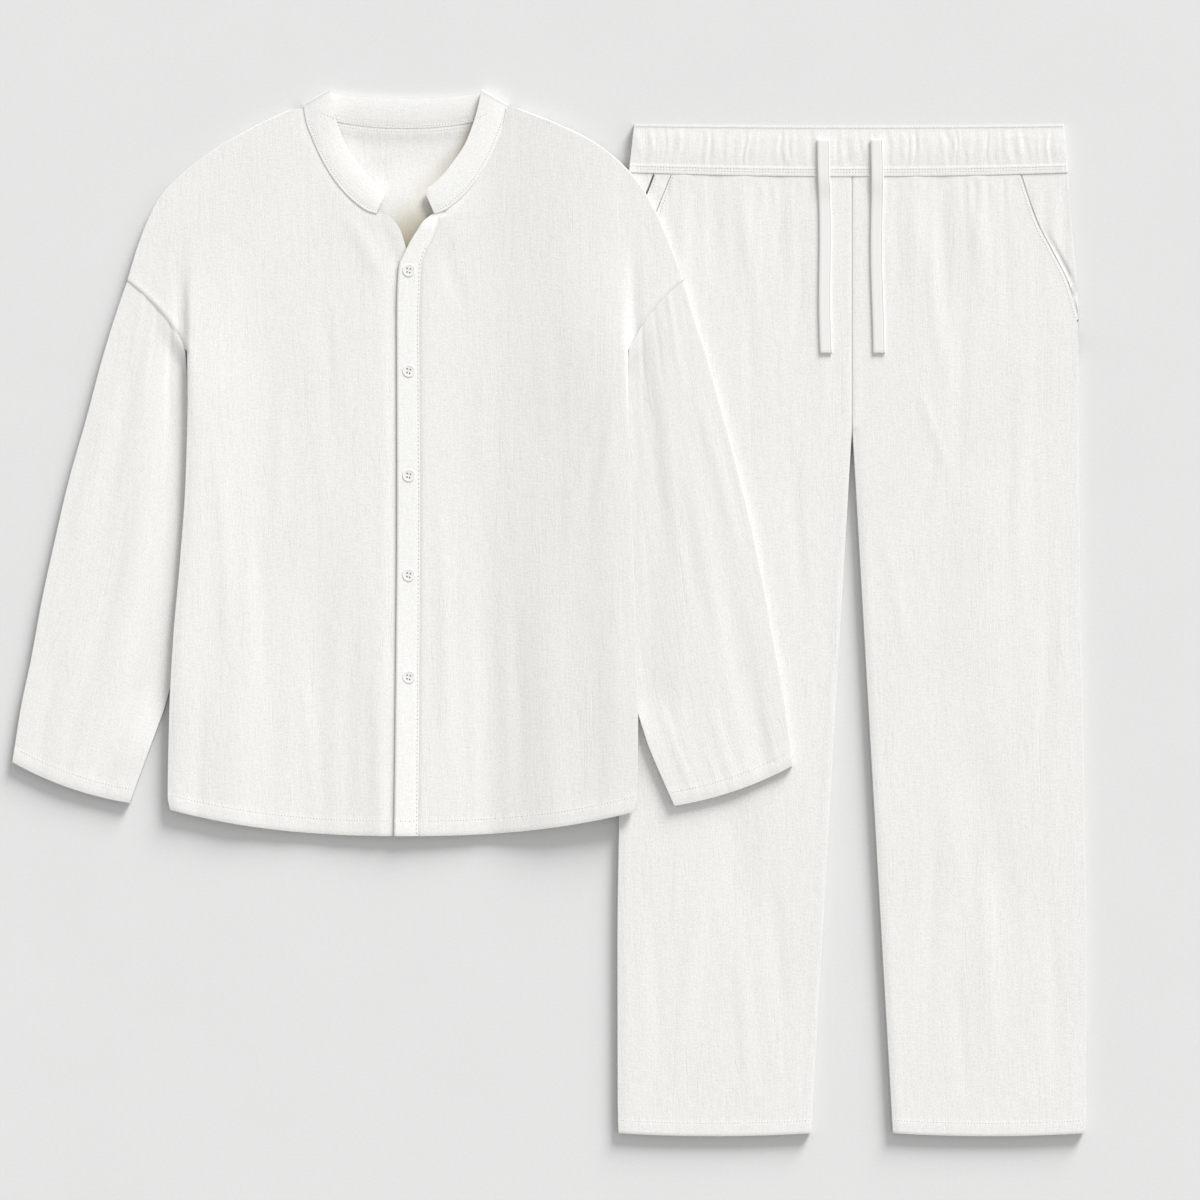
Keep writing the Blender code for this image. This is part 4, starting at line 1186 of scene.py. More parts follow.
def lay_shirt_back():
    """Level rows up to the armholes, which then bend to the line of the shoulders and the neck."""
    out = np.linspace(0, BACK_HALF, BACK_COLUMNS)
    share = out / out[-1]
    top, level = {}, {}
    for side, sign in SIGN.items():
        shoulder_down = along(SHOULDER[side][:-1], SHOULDER["down"][:-1], out + BACK_INSET) + BACK_INSET
        neck_down = along(BACK_NECK["out"], BACK_NECK["down"], out)
        top[side] = sign * out, np.where(out > BACK_NECK["out"][-1], shoulder_down, neck_down)
        level[side] = sign * share * (shirt_edge(side, ARMHOLE_FOOT) - BACK_INSET)
    top_x = np.append(top["right"][0][:0:-1], top["left"][0])
    top_down = np.append(top["right"][1][:0:-1], top["left"][1])
    level_x = np.append(level["right"][:0:-1], level["left"])
    share = np.append(share[:0:-1], share)
    weight = np.linspace(1, 0, BACK_TOP_ROWS)[:-1, None]
    at_armhole = smooth((share - BACK_BOW_FROM) / (1 - BACK_BOW_FROM)) * np.sign(level_x)
    bow = BACK_BOW * 4 * weight * (1 - weight) * at_armhole
    x = level_x + (top_x - level_x) * weight - bow
    down = ARMHOLE_FOOT + (top_down - ARMHOLE_FOOT) * weight
    rows = np.linspace(ARMHOLE_FOOT, SHIRT_END, BACK_ROWS)[:, None]
    edges = {side: read(SIDE, side, rows) - BACK_INSET for side in SIGN}
    body_x = share * np.sign(level_x) * by_side(level_x, edges)
    x = np.concatenate([x, body_x])
    down = np.concatenate([down, shirt_down(body_x, rows + 0 * body_x) - BACK_INSET])
    neck_line = along(BACK_NECK["out"], BACK_NECK["down"], np.abs(x))
    below_neck = down - neck_line
    allowance = 0.95 * smooth(1 - (below_neck - 3) / 19) + 0.3 * smooth(1 - np.abs(below_neck - 8) / 3)
    allowance = allowance * smooth((BACK_NECK["out"][-1] - np.abs(x)) / 6)
    from_fill = np.hypot(x - NECK_FILL_AT[0], down - NECK_FILL_AT[1])
    allowance = allowance + NECK_FILL * smooth(1 - from_fill / NECK_FILL_REACH)
    up = WALL + 0.05 + onto_trousers(x) + side_lift(x, down, *BACK_LIFT) + allowance
    # Painted shade inside the neck.
    depth = painted_neck_shade(x, down)
    return lay_cloth("shirt_back_cloth", SHIRT_AT, (x, down, up), hem=shirt_hem(x) - down, depth=depth)

# %% [markdown]
# The placket is a narrow strip on the left front. Its columns are close together at both edges, because the
# folded edge rounds down there and the row of sewing presses a groove.

# %% The placket, and all four laid in order


def lay_placket():
    rows = PLACKET_ROWS[:, None]
    edge, stitch = placket_edges(rows)
    share = PLACKET_STEPS
    x = edge + (stitch - edge) * share
    down = shirt_down(x, rows - placket_slant(rows) * share)
    from_hem = shirt_hem(x) - down
    rim = 0.5 * smooth(1 - (share * (stitch - edge)) / 1.4)
    groove = 0.1 * smooth(1 - np.abs((1 - share) * (stitch - edge) - 2.6) / 1.8)
    up = placket_height(x, down) + hem_swell(from_hem, SHIRT_HEM) - rim - groove
    return lay_cloth("placket", SHIRT_AT, (x, down, up), hem=from_hem)


cloths["shirt_back"] = lay_shirt_back()
for side in SIGN:
    cloths[f"shirt_front_{side}"] = lay_shirt_front(side)
cloths["shirt_placket"] = lay_placket()

# %% [markdown]
# The neck band is one strip. It runs from the left front up and over the shoulder, along the back of the
# neck, and down the other side. Its two long edges are tables, seam and edge, with a half turn where the
# strip folds over the shoulder. It is two layers with a folded upper edge, so its wall is thicker.

# %% The neck band
BAND_WALL = 1.9
BAND_FOLD = table(
    "out down up radius",
    (101.8, 17.4, 4.3, 2.75),
    (75.9, 2.6, 5.6, 3.0),
)
BAND_FRONT = table(
    "seam seam_down seam_up edge edge_down edge_up",
    (28.5, 124.5, 7.1, 20.6, 105.5, 7.2),
    (31.5, 123.9, 7.1, 21.6, 100.2, 7.4),
    (38.5, 121.5, 7.1, 27.5, 95.5, 7.7),
    (53.5, 110.5, 7.1, 37, 86.5, 8),
    (69, 93.5, 7.1, 48.5, 72, 8),
    (83, 71, 7.1, 59.5, 55.5, 8),
    (92.6, 50, 7.1, 67, 37, 8.1),
    (99, 33, 7.1, 72.5, 19, 8.3),
)
BAND_BACK = table(
    "seam seam_down seam_up edge edge_down edge_up",
    (94, 21.2, 2.1, 72, 4, 2.8),
    (82, 27.3, 1.75, 64, 5.5, 2.8),
    (66, 32.6, 1.6, 51, 7, 2.8),
    (44, 36.4, 1.35, 35, 8.3, 2.8),
    (22, 38.4, 1.35, 18, 9, 2.8),
    (0, 39, 1.35, 0, 9.2, 2.8),
)
BAND_ARCH = 0.5
BAND_STEPS = np.array([1, 0.97, 0.92, 0.85, 0.7, 0.55, 0.4, 0.28, 0.18, 0.11, 0.07, 0.03, 0])


def band_stations():
    """The neck band's seam and edge, from the wearer's left front round the back to the right front."""
    turn = np.radians([0, 45, 90, 135, 180])[:, None]
    seam_x, seam_down = BAND_FOLD["out"][0], BAND_FOLD["down"][0]
    edge_x, edge_down = BAND_FOLD["out"][1], BAND_FOLD["down"][1]
    long = np.hypot(seam_x - edge_x, seam_down - edge_down)
    outward = (seam_down - edge_down) / long, -(seam_x - edge_x) / long
    reach = 0.45 * BAND_FOLD["radius"] * np.sin(turn) ** 0.6
    out = BAND_FOLD["out"] + outward[0] * reach
    down = BAND_FOLD["down"] + outward[1] * reach
    up = BAND_FOLD["up"] + BAND_FOLD["radius"] * np.sign(np.cos(turn)) * np.abs(np.cos(turn)) ** 0.6
    both = []
    for i, name in enumerate(("seam", "edge")):
        turned = {name: out[:, i], f"{name}_down": down[:, i], f"{name}_up": up[:, i]}
        half = [np.concatenate([BAND_FRONT[key], turned[key], BAND_BACK[key]]) for key in turned]
        mirrored = [-half[0][-2::-1], half[1][-2::-1], half[2][-2::-1]]
        both.append([np.concatenate(pair) for pair in zip(half, mirrored)])
    return both


def lay_band():
    seam, edge = band_stations()
    stations = np.arange(len(seam[0]))
    fine = np.linspace(0, stations[-1], 10 * stations[-1] + 1)
    seam = [along(stations, values, fine) for values in seam]
    edge = [along(stations, values, fine) for values in edge]
    share = BAND_STEPS[:, None]
    x, down, up = (seam[i] + (edge[i] - seam[i]) * share for i in range(3))
    wide = np.hypot(seam[0] - edge[0], seam[1] - edge[1])
    on_fronts = smooth((up - 4) / 2)
    up = up + BAND_ARCH * 4 * share * (1 - share) + neck_swell(np.abs(seam[0]), seam[1]) * on_fronts
    up = up + 0.1 * (smooth(1 - np.abs(share - 0.035) / 0.05) - smooth(1 - np.abs(share - 0.1) / 0.05))
    up = up - 1.1 * share * on_fronts * (seam[0] < 0) * smooth((seam[1] - 20) / 60)
    step = np.hypot(np.diff(seam[0]), np.diff(seam[1]))
    length = np.append(0, np.cumsum(step))
    grain = (share * wide, length + 0 * share)
    # Painted shade where the strip turns over each shoulder, carried by the rim attribute.
    half_turn = smooth((fine - 7.6) / 0.6) * smooth((12.6 - fine) / 0.6)
    fold_painted_shade = 0.6 * np.maximum(half_turn, half_turn[::-1]) + 0 * share
    points = (x, down, up)
    return lay_cloth("neck_band", SHIRT_AT, points, wall=BAND_WALL, grain=grain, rim=fold_painted_shade, centred=True)


cloths["shirt_collar"] = lay_band()

# %% [markdown]
# Sewing is what tells cloth from paper. The threads are a shade whiter than the cloth, and the needle's
# holes are what is seen of a row from far off; their dark colour is painted shade, as are the dark of the
# open pocket slit and of the buttons' holes. These finishes are plain, one value for each socket.

# %% Finishes that the sewing needs
LINEN_COLOUR = (0.872, 0.862, 0.835)


def plain_finish(name, colour, roughness):
    material = bpy.data.materials.new(name)
    material.use_nodes = True
    shader = material.node_tree.nodes["Principled BSDF"]
    shader.inputs["Base Color"].default_value = (*colour, 1)
    shader.inputs["Roughness"].default_value = roughness
    return material


thread = plain_finish("thread", (0.88, 0.87, 0.84), 0.6)
# Painted shade: the dark colour of the beads that stand for the needle holes.
needle_hole_shade = plain_finish("needle_hole_shade", (0.23, 0.22, 0.2), 0.9)
brown_thread = plain_finish("brown_thread", (0.16, 0.10, 0.06), 0.7)
# A painted shadow: the dark of the open pocket slit.
slit_painted_shadow = plain_finish("slit_painted_shadow", (0.10, 0.09, 0.075), 0.9)

# %% [markdown]
# One Geometry Nodes tree sews every row. It turns a mesh of edges into curves, spaces points along them, and
# puts a small thread at each point and a bead for the needle hole between each two, in the hole's material,
# which for most rows is the dark of painted shade. Both are beads of 24 faces, because there are thousands of
# them. The last nodes make the instances real and set the materials.

# %% The sewing tree


def add_node(tree, kind, settings=(), inputs=()):
    """One node of a tree. Settings come first, and then its sockets get their values or links."""
    node = tree.nodes.new(kind)
    for key, value in dict(settings).items():
        setattr(node, key, value)
    for key, value in dict(inputs).items():
        if isinstance(value, bpy.types.NodeSocket):
            tree.links.new(value, node.inputs[key])
        else:
            node.inputs[key].default_value = value
    return node


def sewing_tree(name, thread_material, hole_material):
    """Threads and needle holes along every row, with their sizes and the seed as named inputs."""
    tree = bpy.data.node_groups.new(name, "GeometryNodeTree")

    def made(kind, inputs=(), settings=(), output=0):
        return add_node(tree, kind, settings, inputs).outputs[output]

    tree.interface.new_socket("Rows", in_out="INPUT", socket_type="NodeSocketGeometry")
    for label, value in (("Pitch", 2.9), ("Stitch", 1.9), ("Thread", 0.4), ("Hole", 0.85)):
        socket = tree.interface.new_socket(label, in_out="INPUT", socket_type="NodeSocketFloat")
        socket.default_value = value * MM
    seed = tree.interface.new_socket("Seed", in_out="INPUT", socket_type="NodeSocketInt")
    seed.default_value = 5
    tree.interface.new_socket("Sewing", in_out="OUTPUT", socket_type="NodeSocketGeometry")
    given = add_node(tree, "NodeGroupInput").outputs
    curve = made("GeometryNodeMeshToCurve", {"Mesh": given["Rows"]})
    spaced = made("GeometryNodeResampleCurve", {"Curve": curve, "Length": given["Pitch"]}, {"mode": "LENGTH"})
    tangent = made("GeometryNodeInputTangent")
    turn = made("FunctionNodeAlignRotationToVector", {"Vector": tangent}, {"axis": "X"})
    ball = made("GeometryNodeMeshUVSphere", {"Segments": 6, "Rings": 4, "Radius": 0.5})
    uneven_sizes = {2: 0.86, 3: 1.1, "Seed": given["Seed"]}
    uneven = made("FunctionNodeRandomValue", uneven_sizes, {"data_type": "FLOAT"}, output=1)
    half_pitch = made("ShaderNodeMath", {0: given["Pitch"], 1: 0.5}, {"operation": "MULTIPLY"})
    ahead = made("ShaderNodeVectorMath", {0: tangent, "Scale": half_pitch}, {"operation": "SCALE"})
    between = made("GeometryNodeSetPosition", {"Geometry": spaced, "Offset": ahead})
    joined = add_node(tree, "GeometryNodeJoinGeometry")
    for points, size, scale, material in (
        (spaced, ("Stitch", "Thread", "Thread"), {"Scale": uneven}, thread_material),
        (between, ("Hole", "Hole", "Thread"), {}, hole_material),
    ):
        shape = made("ShaderNodeCombineXYZ", {i: given[label] for i, label in enumerate(size)})
        bead = made("GeometryNodeTransform", {"Geometry": ball, "Scale": shape})
        laid = {"Points": points, "Instance": bead, "Rotation": turn, **scale}
        beads = made("GeometryNodeInstanceOnPoints", laid)
        real = made("GeometryNodeRealizeInstances", {"Geometry": beads})
        finished = made("GeometryNodeSetMaterial", {"Geometry": real, "Material": material})
        tree.links.new(finished, joined.inputs[0])
    rounded = made("GeometryNodeSetShadeSmooth", {"Geometry": joined.outputs[0]})
    add_node(tree, "NodeGroupOutput", inputs={0: rounded})
    return tree


sewing = sewing_tree("sewing", thread, needle_hole_shade)
print("sewing tree:", len(sewing.nodes), "nodes")

# %% [markdown]
# The rows are drawn flat in the garment's frame and dropped onto the cloth below, as a machine would sew
# them: a ray goes straight down from each point, and the thread sits where it meets the cloth. The sewing
# modifier gets its sizes by the sockets' identifiers, and its result is kept as a plain mesh.

# %% Drop rows onto the cloth and sew them
THREAD_SINK = 0.06
DROP_FROM = 100.0


def surface_of(pieces):
    """A ray caster for each piece of cloth."""
    graph = bpy.context.evaluated_depsgraph_get()
    return [BVHTree.FromObject(piece, graph) for piece in pieces]


def drop(surfaces, place, x, down, lift=-THREAD_SINK):
    """The points on the cloth straight below these places in a garment's frame."""
    points = []
    for a, b in zip(np.atleast_1d(x), np.atleast_1d(down)):
        start = Vector(placed(place, a, b, DROP_FROM))
        hits = [hit for hit in (tree.ray_cast(start, Vector((0, 0, -1)))[0] for tree in surfaces) if hit]
        if hits:
            points.append(max(hits, key=lambda hit: hit.z) + Vector((0, 0, lift * MM)))
    return points


def sew(name, on, place, rows, pitch=2.9, stitch=1.9, thick=0.4, hole=0.85, tree=sewing):
    """Sews rows, each a pair of arrays x and down, onto the pieces, and returns one mesh."""
    surfaces = surface_of(on)
    mesh = bpy.data.meshes.new(f"{name}_rows")
    places, edges = [], []
    for x, down in rows:
        points = drop(surfaces, place, x, down)
        edges += [(len(places) + i, len(places) + i + 1) for i in range(len(points) - 1)]
        places += points
    mesh.from_pydata(places, edges, [])
    guide = add_object(f"{name}_rows", mesh)
    modifier = guide.modifiers.new("sewing", "NODES")
    modifier.node_group = tree
    sizes = {"Pitch": pitch * MM, "Stitch": stitch * MM, "Thread": thick * MM, "Hole": hole * MM}
    for item in tree.interface.items_tree:
        if item.name in sizes and item.in_out == "INPUT":
            modifier[item.identifier] = sizes[item.name]
    graph = bpy.context.evaluated_depsgraph_get()
    made = bpy.data.meshes.new_from_object(guide.evaluated_get(graph))
    made.name = name
    bpy.data.objects.remove(guide)
    piece = add_object(name, made)
    print(f"{name}: {len(rows)} rows, {sum(len(p.vertices) - 2 for p in made.polygons)} triangles")
    return piece


def row_between(start, end, count=60):
    """A straight row from one place to another."""
    share = np.linspace(0, 1, count)
    return start[0] + (end[0] - start[0]) * share, start[1] + (end[1] - start[1]) * share

# %% [markdown]
# Where the rows go on the shirt: along the hem and the cuffs at their width, down the placket's stitched
# edge, round the neck band's seam and inside the back of the neck. Each row is read from the same curves as
# the cloth, set in from the edge by the distance a machine's foot would keep. The seams of the shoulders and
# armholes show no thread.

# %% Rows on the shirt
SEW_STEP = 2.0


def hem_row(start, end):
    """A row along the shirt's hem, between two places across it."""
    x = np.arange(start, end, SEW_STEP)
    return x, shirt_hem(x) - SHIRT_HEM


def neck_band_row(share, start, end):
    """A row along the neck band, at a share of its width from the seam, between two stations."""
    seam, edge = band_stations()
    stations = np.arange(len(seam[0]))
    fine = np.linspace(start, end, 120)
    x, down = (along(stations, seam[i] + (edge[i] - seam[i]) * share, fine) for i in range(2))
    return x, down


def cuff_row(side, inset):
    """A row across a sleeve, above the cuff's edge."""
    cut = SLEEVE[side]
    outer = np.array([SIGN[side] * cut["outer"][-1], cut["outer_down"][-1]])
    inner = np.array([SIGN[side] * cut["inner"][-1], cut["inner_down"][-1]])
    share = np.linspace(0.035, 0.965, 70)
    run = (inner - outer) / np.hypot(*(inner - outer))
    outward = np.array([-run[1], run[0]]) * (1 if run[0] > 0 else -1)
    away = CUFF_BOW * 4 * share * (1 - share) - inset
    points = outer[:, None] + (inner - outer)[:, None] * share + outward[:, None] * away
    return points[0], points[1]


placket_down = np.arange(158, 744, SEW_STEP)
placket_row = read(PLACKET, "stitch", placket_down) - 2.4, placket_down
back_x = np.arange(-80, 80, SEW_STEP)
back_row = back_x, along(BACK_NECK["out"], BACK_NECK["down"], np.abs(back_x)) + 5.6
band_rows = [neck_band_row(0.1, 0.4, 7), neck_band_row(0.1, 29, 35.6), neck_band_row(0.08, 13.9, 22.1)]
coarse = dict(pitch=4.2, stitch=2.6, hole=1.05)
shirt_rows = [
    ("shirt_front_right", "sewing_shirt_right", [hem_row(-232, -12)], {}),
    ("shirt_front_left", "sewing_shirt_left", [hem_row(16, 227)], {}),
    ("shirt_placket", "sewing_placket", [placket_row, hem_row(-11, 13)], coarse),
    ("shirt_collar", "sewing_band", band_rows, {}),
    ("shirt_back", "sewing_back", [back_row], {}),
]
for side in SIGN:
    shirt_rows.append((f"shirt_sleeve_{side}", f"sewing_sleeve_{side}", [cuff_row(side, CUFF_HEM)], {}))
shirt_sewing = {}
for node, name, rows, sizes in shirt_rows:
    shirt_sewing[node] = sew(name, [cloths[node]], SHIRT_AT, rows, **sizes)

# %% [markdown]
# On the trousers the rows follow the leg hems, the pocket mouths and both edges of the waistband. The right
# pocket's facing adds a short row of its own beside the mouth.

# %% Rows on the trousers


def leg_hem_row(side):
    out = np.arange(leg_inner(LEG_END - LEG_HEM) + 2.5, LEG[side][-1] - 3, SEW_STEP)
    x = SIGN[side] * out
    return x, leg_down(x, LEG_END + 0 * x) - LEG_HEM


def mouth_row(side, inset):
    """A row beside a pocket's mouth, set in from it."""
    down = np.arange(54, POCKET[side]["down"][-1] + 2, SEW_STEP)
    out = read(POCKET[side], "out", down)
    return SIGN[side] * (out - inset), down


def band_row(row):
    x = np.arange(-216, 210, SEW_STEP)
    top = WAIST_SAG * (1 - (x / WAIST_HALF) ** 2)
    return x, top + row / WAIST_ROWS["row"][-1] * (waist_foot(x) - top)


trouser_sewing = {
    "waistband": sew(
        "sewing_waistband",
        [cloths["waistband"]],
        TROUSERS_AT,
        [band_row(2.6), band_row(42.6), band_row(45.4)],
    )
}
for side in SIGN:
    facing = [row_between((-179.5, 53), (-193, 92))] if side == "right" else []
    trouser_sewing[f"trouser_front_{side}"] = sew(
        f"sewing_leg_{side}",
        [cloths[f"trouser_front_{side}"]],
        TROUSERS_AT,
        [leg_hem_row(side), mouth_row(side, 3.6)] + facing,
    )

# %% [markdown]
# Small sewn details: a worked slit for each end of the drawstring, a short row across each tape's end, the
# buttonholes that show above and below their buttons, and a brown bar tack at the foot of the open pocket.
# The same tree with dark beads close together paints the shadow in the right pocket's open slit, and a line
# of painted shade along its facing's edge.

# %% Slits, tacks and buttonholes
BUTTON_X = 3.5
BUTTON_DOWNS = (181.5, 282.0, 386.5, 486.0, 588.0)
fine_sewing = dict(pitch=0.95, stitch=0.8, thick=0.45, hole=0.1)


def box_row(x, down, width, height):
    """A closed rectangular row round a slit."""
    corners = [(-1, -1), (1, -1), (1, 1), (-1, 1), (-1, -1)]
    xs = [x + a * width / 2 for a, b in corners]
    downs = [down + b * height / 2 for a, b in corners]
    at = np.linspace(0, 4, 41)
    return np.interp(at, range(5), xs), np.interp(at, range(5), downs)


eyelets = sew(
    "sewing_eyelets",
    [cloths["waistband"]],
    TROUSERS_AT,
    [box_row(TAPE_X[side][0], TAPE_FROM - 0.6, TAPE_WIDTH + 2.4, 2.6) for side in SIGN],
    **fine_sewing,
)
tape_ends = {
    side: sew(
        f"sewing_tape_{side}",
        [tapes[side]],
        TROUSERS_AT,
        [row_between((TAPE_X[side][1] - 5.4, TAPE_TO - 3.6), (TAPE_X[side][1] + 6.2, TAPE_TO - 3.6), 12)],
        pitch=1.9,
        stitch=1.3,
        hole=0.35,
    )
    for side in SIGN
}
buttonholes = sew(
    "sewing_buttonholes",
    [cloths["shirt_placket"]],
    SHIRT_AT,
    [
        row_between((BUTTON_X + aside, down - 8.2), (BUTTON_X + aside, down + 7.6), 12)
        for down in BUTTON_DOWNS
        for aside in (-0.7, 0.7)
    ],
    **fine_sewing,
)
brown_sewing = sewing_tree("brown_sewing", brown_thread, brown_thread)
tack = sew(
    "bar_tack",
    [cloths["trouser_front_left"], cloths["pocket_left"]],
    TROUSERS_AT,
    [row_between((225.9, 195.6 + i * 0.5), (224.9, 196.8 + i * 0.5), 4) for i in range(3)],
    pitch=0.7,
    stitch=0.8,
    thick=0.5,
    hole=0.1,
    tree=brown_sewing,
)

# Two trees paint shade with dark beads: the shadow in the open pocket slit and a shaded line along the
# facing's edge.
slit_shadow_sewing = sewing_tree("slit_shadow_sewing", slit_painted_shadow, slit_painted_shadow)
shade_line_sewing = sewing_tree("shade_line_sewing", needle_hole_shade, needle_hole_shade)
pocket_slit_shadow = sew(
    "pocket_slit_shadow",
    [cloths["trouser_front_right"], cloths["pocket_right"]],
    TROUSERS_AT,
    [row_between((-198.2, 51.5), (-205.3, 69.6))],
    pitch=0.5,
    stitch=1.3,
    thick=1.7,
    hole=0.1,
    tree=slit_shadow_sewing,
)
facing_line_shade = sew(
    "facing_line_shade",
    [cloths["trouser_front_right"]],
    TROUSERS_AT,
    [row_between((-181, 51.5), (-196.2, 89))],
    pitch=0.7,
    stitch=1.1,
    thick=0.75,
    hole=0.1,
    tree=shade_line_sewing,
)

# %% [markdown]
# The buttons are turned discs with a low rim. Spin sweeps the profile once round, and a Boolean drills the
# four holes, which sit a little off their square. A dark circle of painted shade just under the face closes
# each hole, so that it reads as deep. Each disc sinks into the placket a little, as a button that is sewn on
# tight does.

# %% Buttons
BUTTON_PROFILE = table(
    "out up",
    (0, 0),
    (6.1, 0),
    (6.4, 0.35),
    (6.4, 1.0),
    (6.3, 1.13),
    (6.1, 1.2),
    (5.7, 1.22),
    (5.2, 1.17),
    (4.8, 1.11),
    (0, 1.1),
)
BUTTON_HOLE = 0.85
BUTTON_HOLE_AT = ((-1.75, 1.9), (1.45, 1.2), (-1.85, -1.75), (0.75, -2.5))
BUTTON_SINK = 0.75
BUTTON_HOLE_SHADE_UP = 0.93
BUTTON_SHARP = np.radians(40)
DRILL_LONG = 6
ROUND = 48
HOLE_ROUND = 16


def in_order(mesh):
    """The same mesh with its points and faces sorted: a Boolean's own order changes from run to run."""
    points = [tuple(round(value, 6) for value in vertex.co) for vertex in mesh.vertices]
    order = sorted(range(len(points)), key=points.__getitem__)
    rank = {old: new for new, old in enumerate(order)}
    faces = []
    for polygon in mesh.polygons:
        loop = [rank[i] for i in polygon.vertices]
        first = loop.index(min(loop))
        faces.append(loop[first:] + loop[:first])
    mesh.clear_geometry()
    mesh.from_pydata([points[i] for i in order], [], sorted(faces))
    return mesh


def button_disc():
    """A turned disc with four drilled holes, about its own middle, in millimetres."""
    disc = bmesh.new()
    line = [disc.verts.new((out, 0, up)) for out, up in zip(BUTTON_PROFILE["out"], BUTTON_PROFILE["up"])]
    edges = [disc.edges.new(pair) for pair in zip(line, line[1:])]
    bmesh.ops.spin(disc, geom=line + edges, axis=(0, 0, 1), angle=2 * np.pi, steps=ROUND, use_merge=True)
    bmesh.ops.remove_doubles(disc, verts=disc.verts, dist=1e-4)
    bmesh.ops.recalc_face_normals(disc, faces=disc.faces)
    drills = bmesh.new()
    for x, y in BUTTON_HOLE_AT:
        bmesh.ops.create_cone(
            drills,
            cap_ends=True,
            segments=HOLE_ROUND,
            radius1=BUTTON_HOLE,
            radius2=BUTTON_HOLE,
            depth=DRILL_LONG,
            matrix=Matrix.Translation((x, y, 0)),
        )
    made = []
    for name, body in (("button_blank", disc), ("button_drills", drills)):
        mesh = bpy.data.meshes.new(name)
        body.to_mesh(mesh)
        body.free()
        made.append(add_object(name, mesh))
    drilled = made[0].modifiers.new("holes", "BOOLEAN")
    drilled.operation = "DIFFERENCE"
    drilled.solver = "EXACT"
    drilled.object = made[1]
    graph = bpy.context.evaluated_depsgraph_get()
    mesh = in_order(bpy.data.meshes.new_from_object(made[0].evaluated_get(graph)))
    for blank in made:
        bpy.data.objects.remove(blank)
    mesh.shade_smooth()
    mesh.set_sharp_from_angle(angle=BUTTON_SHARP)
    return mesh


def lay_button(number, disc):
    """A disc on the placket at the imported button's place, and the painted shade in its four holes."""
    low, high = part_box(f"button_{number}")
    x, y = (low.x + high.x) / 2 / MM, (low.y + high.y) / 2 / MM
    up = placket_height(np.array([x - SHIRT_AT[0]]), np.array([SHIRT_AT[1] - y]))[0] - BUTTON_SINK
    mesh = disc.copy()
    mesh.transform(Matrix.Translation((x * MM, y * MM, up * MM)) @ Matrix.Scale(MM, 4))
    # Painted shade: a dark circle inside each hole.
    dark = bmesh.new()
    for a, b in BUTTON_HOLE_AT:
        place = Matrix.Translation(((x + a) * MM, (y + b) * MM, (up + BUTTON_HOLE_SHADE_UP) * MM))
        radius = BUTTON_HOLE * MM
        bmesh.ops.create_circle(dark, cap_ends=True, segments=HOLE_ROUND, radius=radius, matrix=place)
    under = bpy.data.meshes.new(f"button_{number}_holes")
    dark.to_mesh(under)
    dark.free()
    return add_object(f"shell_button_{number}", mesh), add_object(f"button_hole_shade_{number}", under)


blank = button_disc()
buttons = [lay_button(number, blank) for number in range(1, len(BUTTON_DOWNS) + 1)]
print("button:", len(blank.polygons), "faces")

# %% [markdown]
# A material is a tree of nodes, and long sums of nodes are hard to read in Python. This small class wraps a
# socket, so that heights and masks can be added and multiplied as numbers are. Each sum adds its Math node.

# %% Wires that add up


class Wire:
    """A socket in a material's tree. Sums and products of wires add their Math nodes."""

    def __init__(self, tree, socket):
        self.tree = tree
        self.socket = socket

    def node(self, kind, settings=(), inputs=(), output=0):
        """Any other node, with its settings first and then its sockets' values or wires."""
        bare = {key: getattr(value, "socket", value) for key, value in dict(inputs).items()}
        return Wire(self.tree, add_node(self.tree, kind, settings, bare).outputs[output])

    def math(self, operation, *values):
        inputs = {i: value for i, value in enumerate(values)}
        return self.node("ShaderNodeMath", {"operation": operation}, inputs)

    def __add__(self, other):
        return self.math("ADD", self, other)

    def __radd__(self, other):
        return self.math("ADD", other, self)

    def __sub__(self, other):
        return self.math("SUBTRACT", self, other)

    def __rsub__(self, other):
        return self.math("SUBTRACT", other, self)

    def __mul__(self, other):
        return self.math("MULTIPLY", self, other)

    def __rmul__(self, other):
        return self.math("MULTIPLY", other, self)

    def __abs__(self):
        return self.math("ABSOLUTE", self)

    def ease(self, low, high):
        """0 below low, 1 above high, and smooth between."""
        inputs = {"Value": self, "From Min": low, "From Max": high}
        return self.node("ShaderNodeMapRange", {"interpolation_type": "SMOOTHSTEP"}, inputs)

    def noise(self, across, lengthwise, detail=2.0, distortion=0.0):
        """Noise stretched along the grain: so many to the metre across it and along it."""
        stretch = {0: self, 1: (across, lengthwise, 1)}
        scaled = self.node("ShaderNodeVectorMath", {"operation": "MULTIPLY"}, stretch)
        inputs = {"Vector": scaled, "Scale": 1.0, "Detail": detail, "Distortion": distortion}
        return self.node("ShaderNodeTexNoise", {"noise_dimensions": "2D"}, inputs)

    def cloud(self, scale, detail, distortion=0.0):
        """Round noise in all three directions."""
        inputs = {"Vector": self, "Scale": scale, "Detail": detail, "Distortion": distortion}
        return self.node("ShaderNodeTexNoise", inputs=inputs)

    def blend(self, low, high):
        """The colour low where this wire is 0, and high where it is 1."""
        return self.node("ShaderNodeMix", {"data_type": "RGBA"}, {0: self, 6: low, 7: high}, output=2)

    def bump(self):
        """This height, in metres, as a normal."""
        return self.node("ShaderNodeBump", inputs={"Strength": 1.0, "Distance": 1.0, "Height": self})

    def attribute(self, name, output="Fac"):
        return self.node("ShaderNodeAttribute", {"attribute_name": name}, output=output)

    def into(self, shader, name):
        """Links this wire to one of the shader's sockets."""
        self.tree.links.new(self.socket, shader.inputs[name])


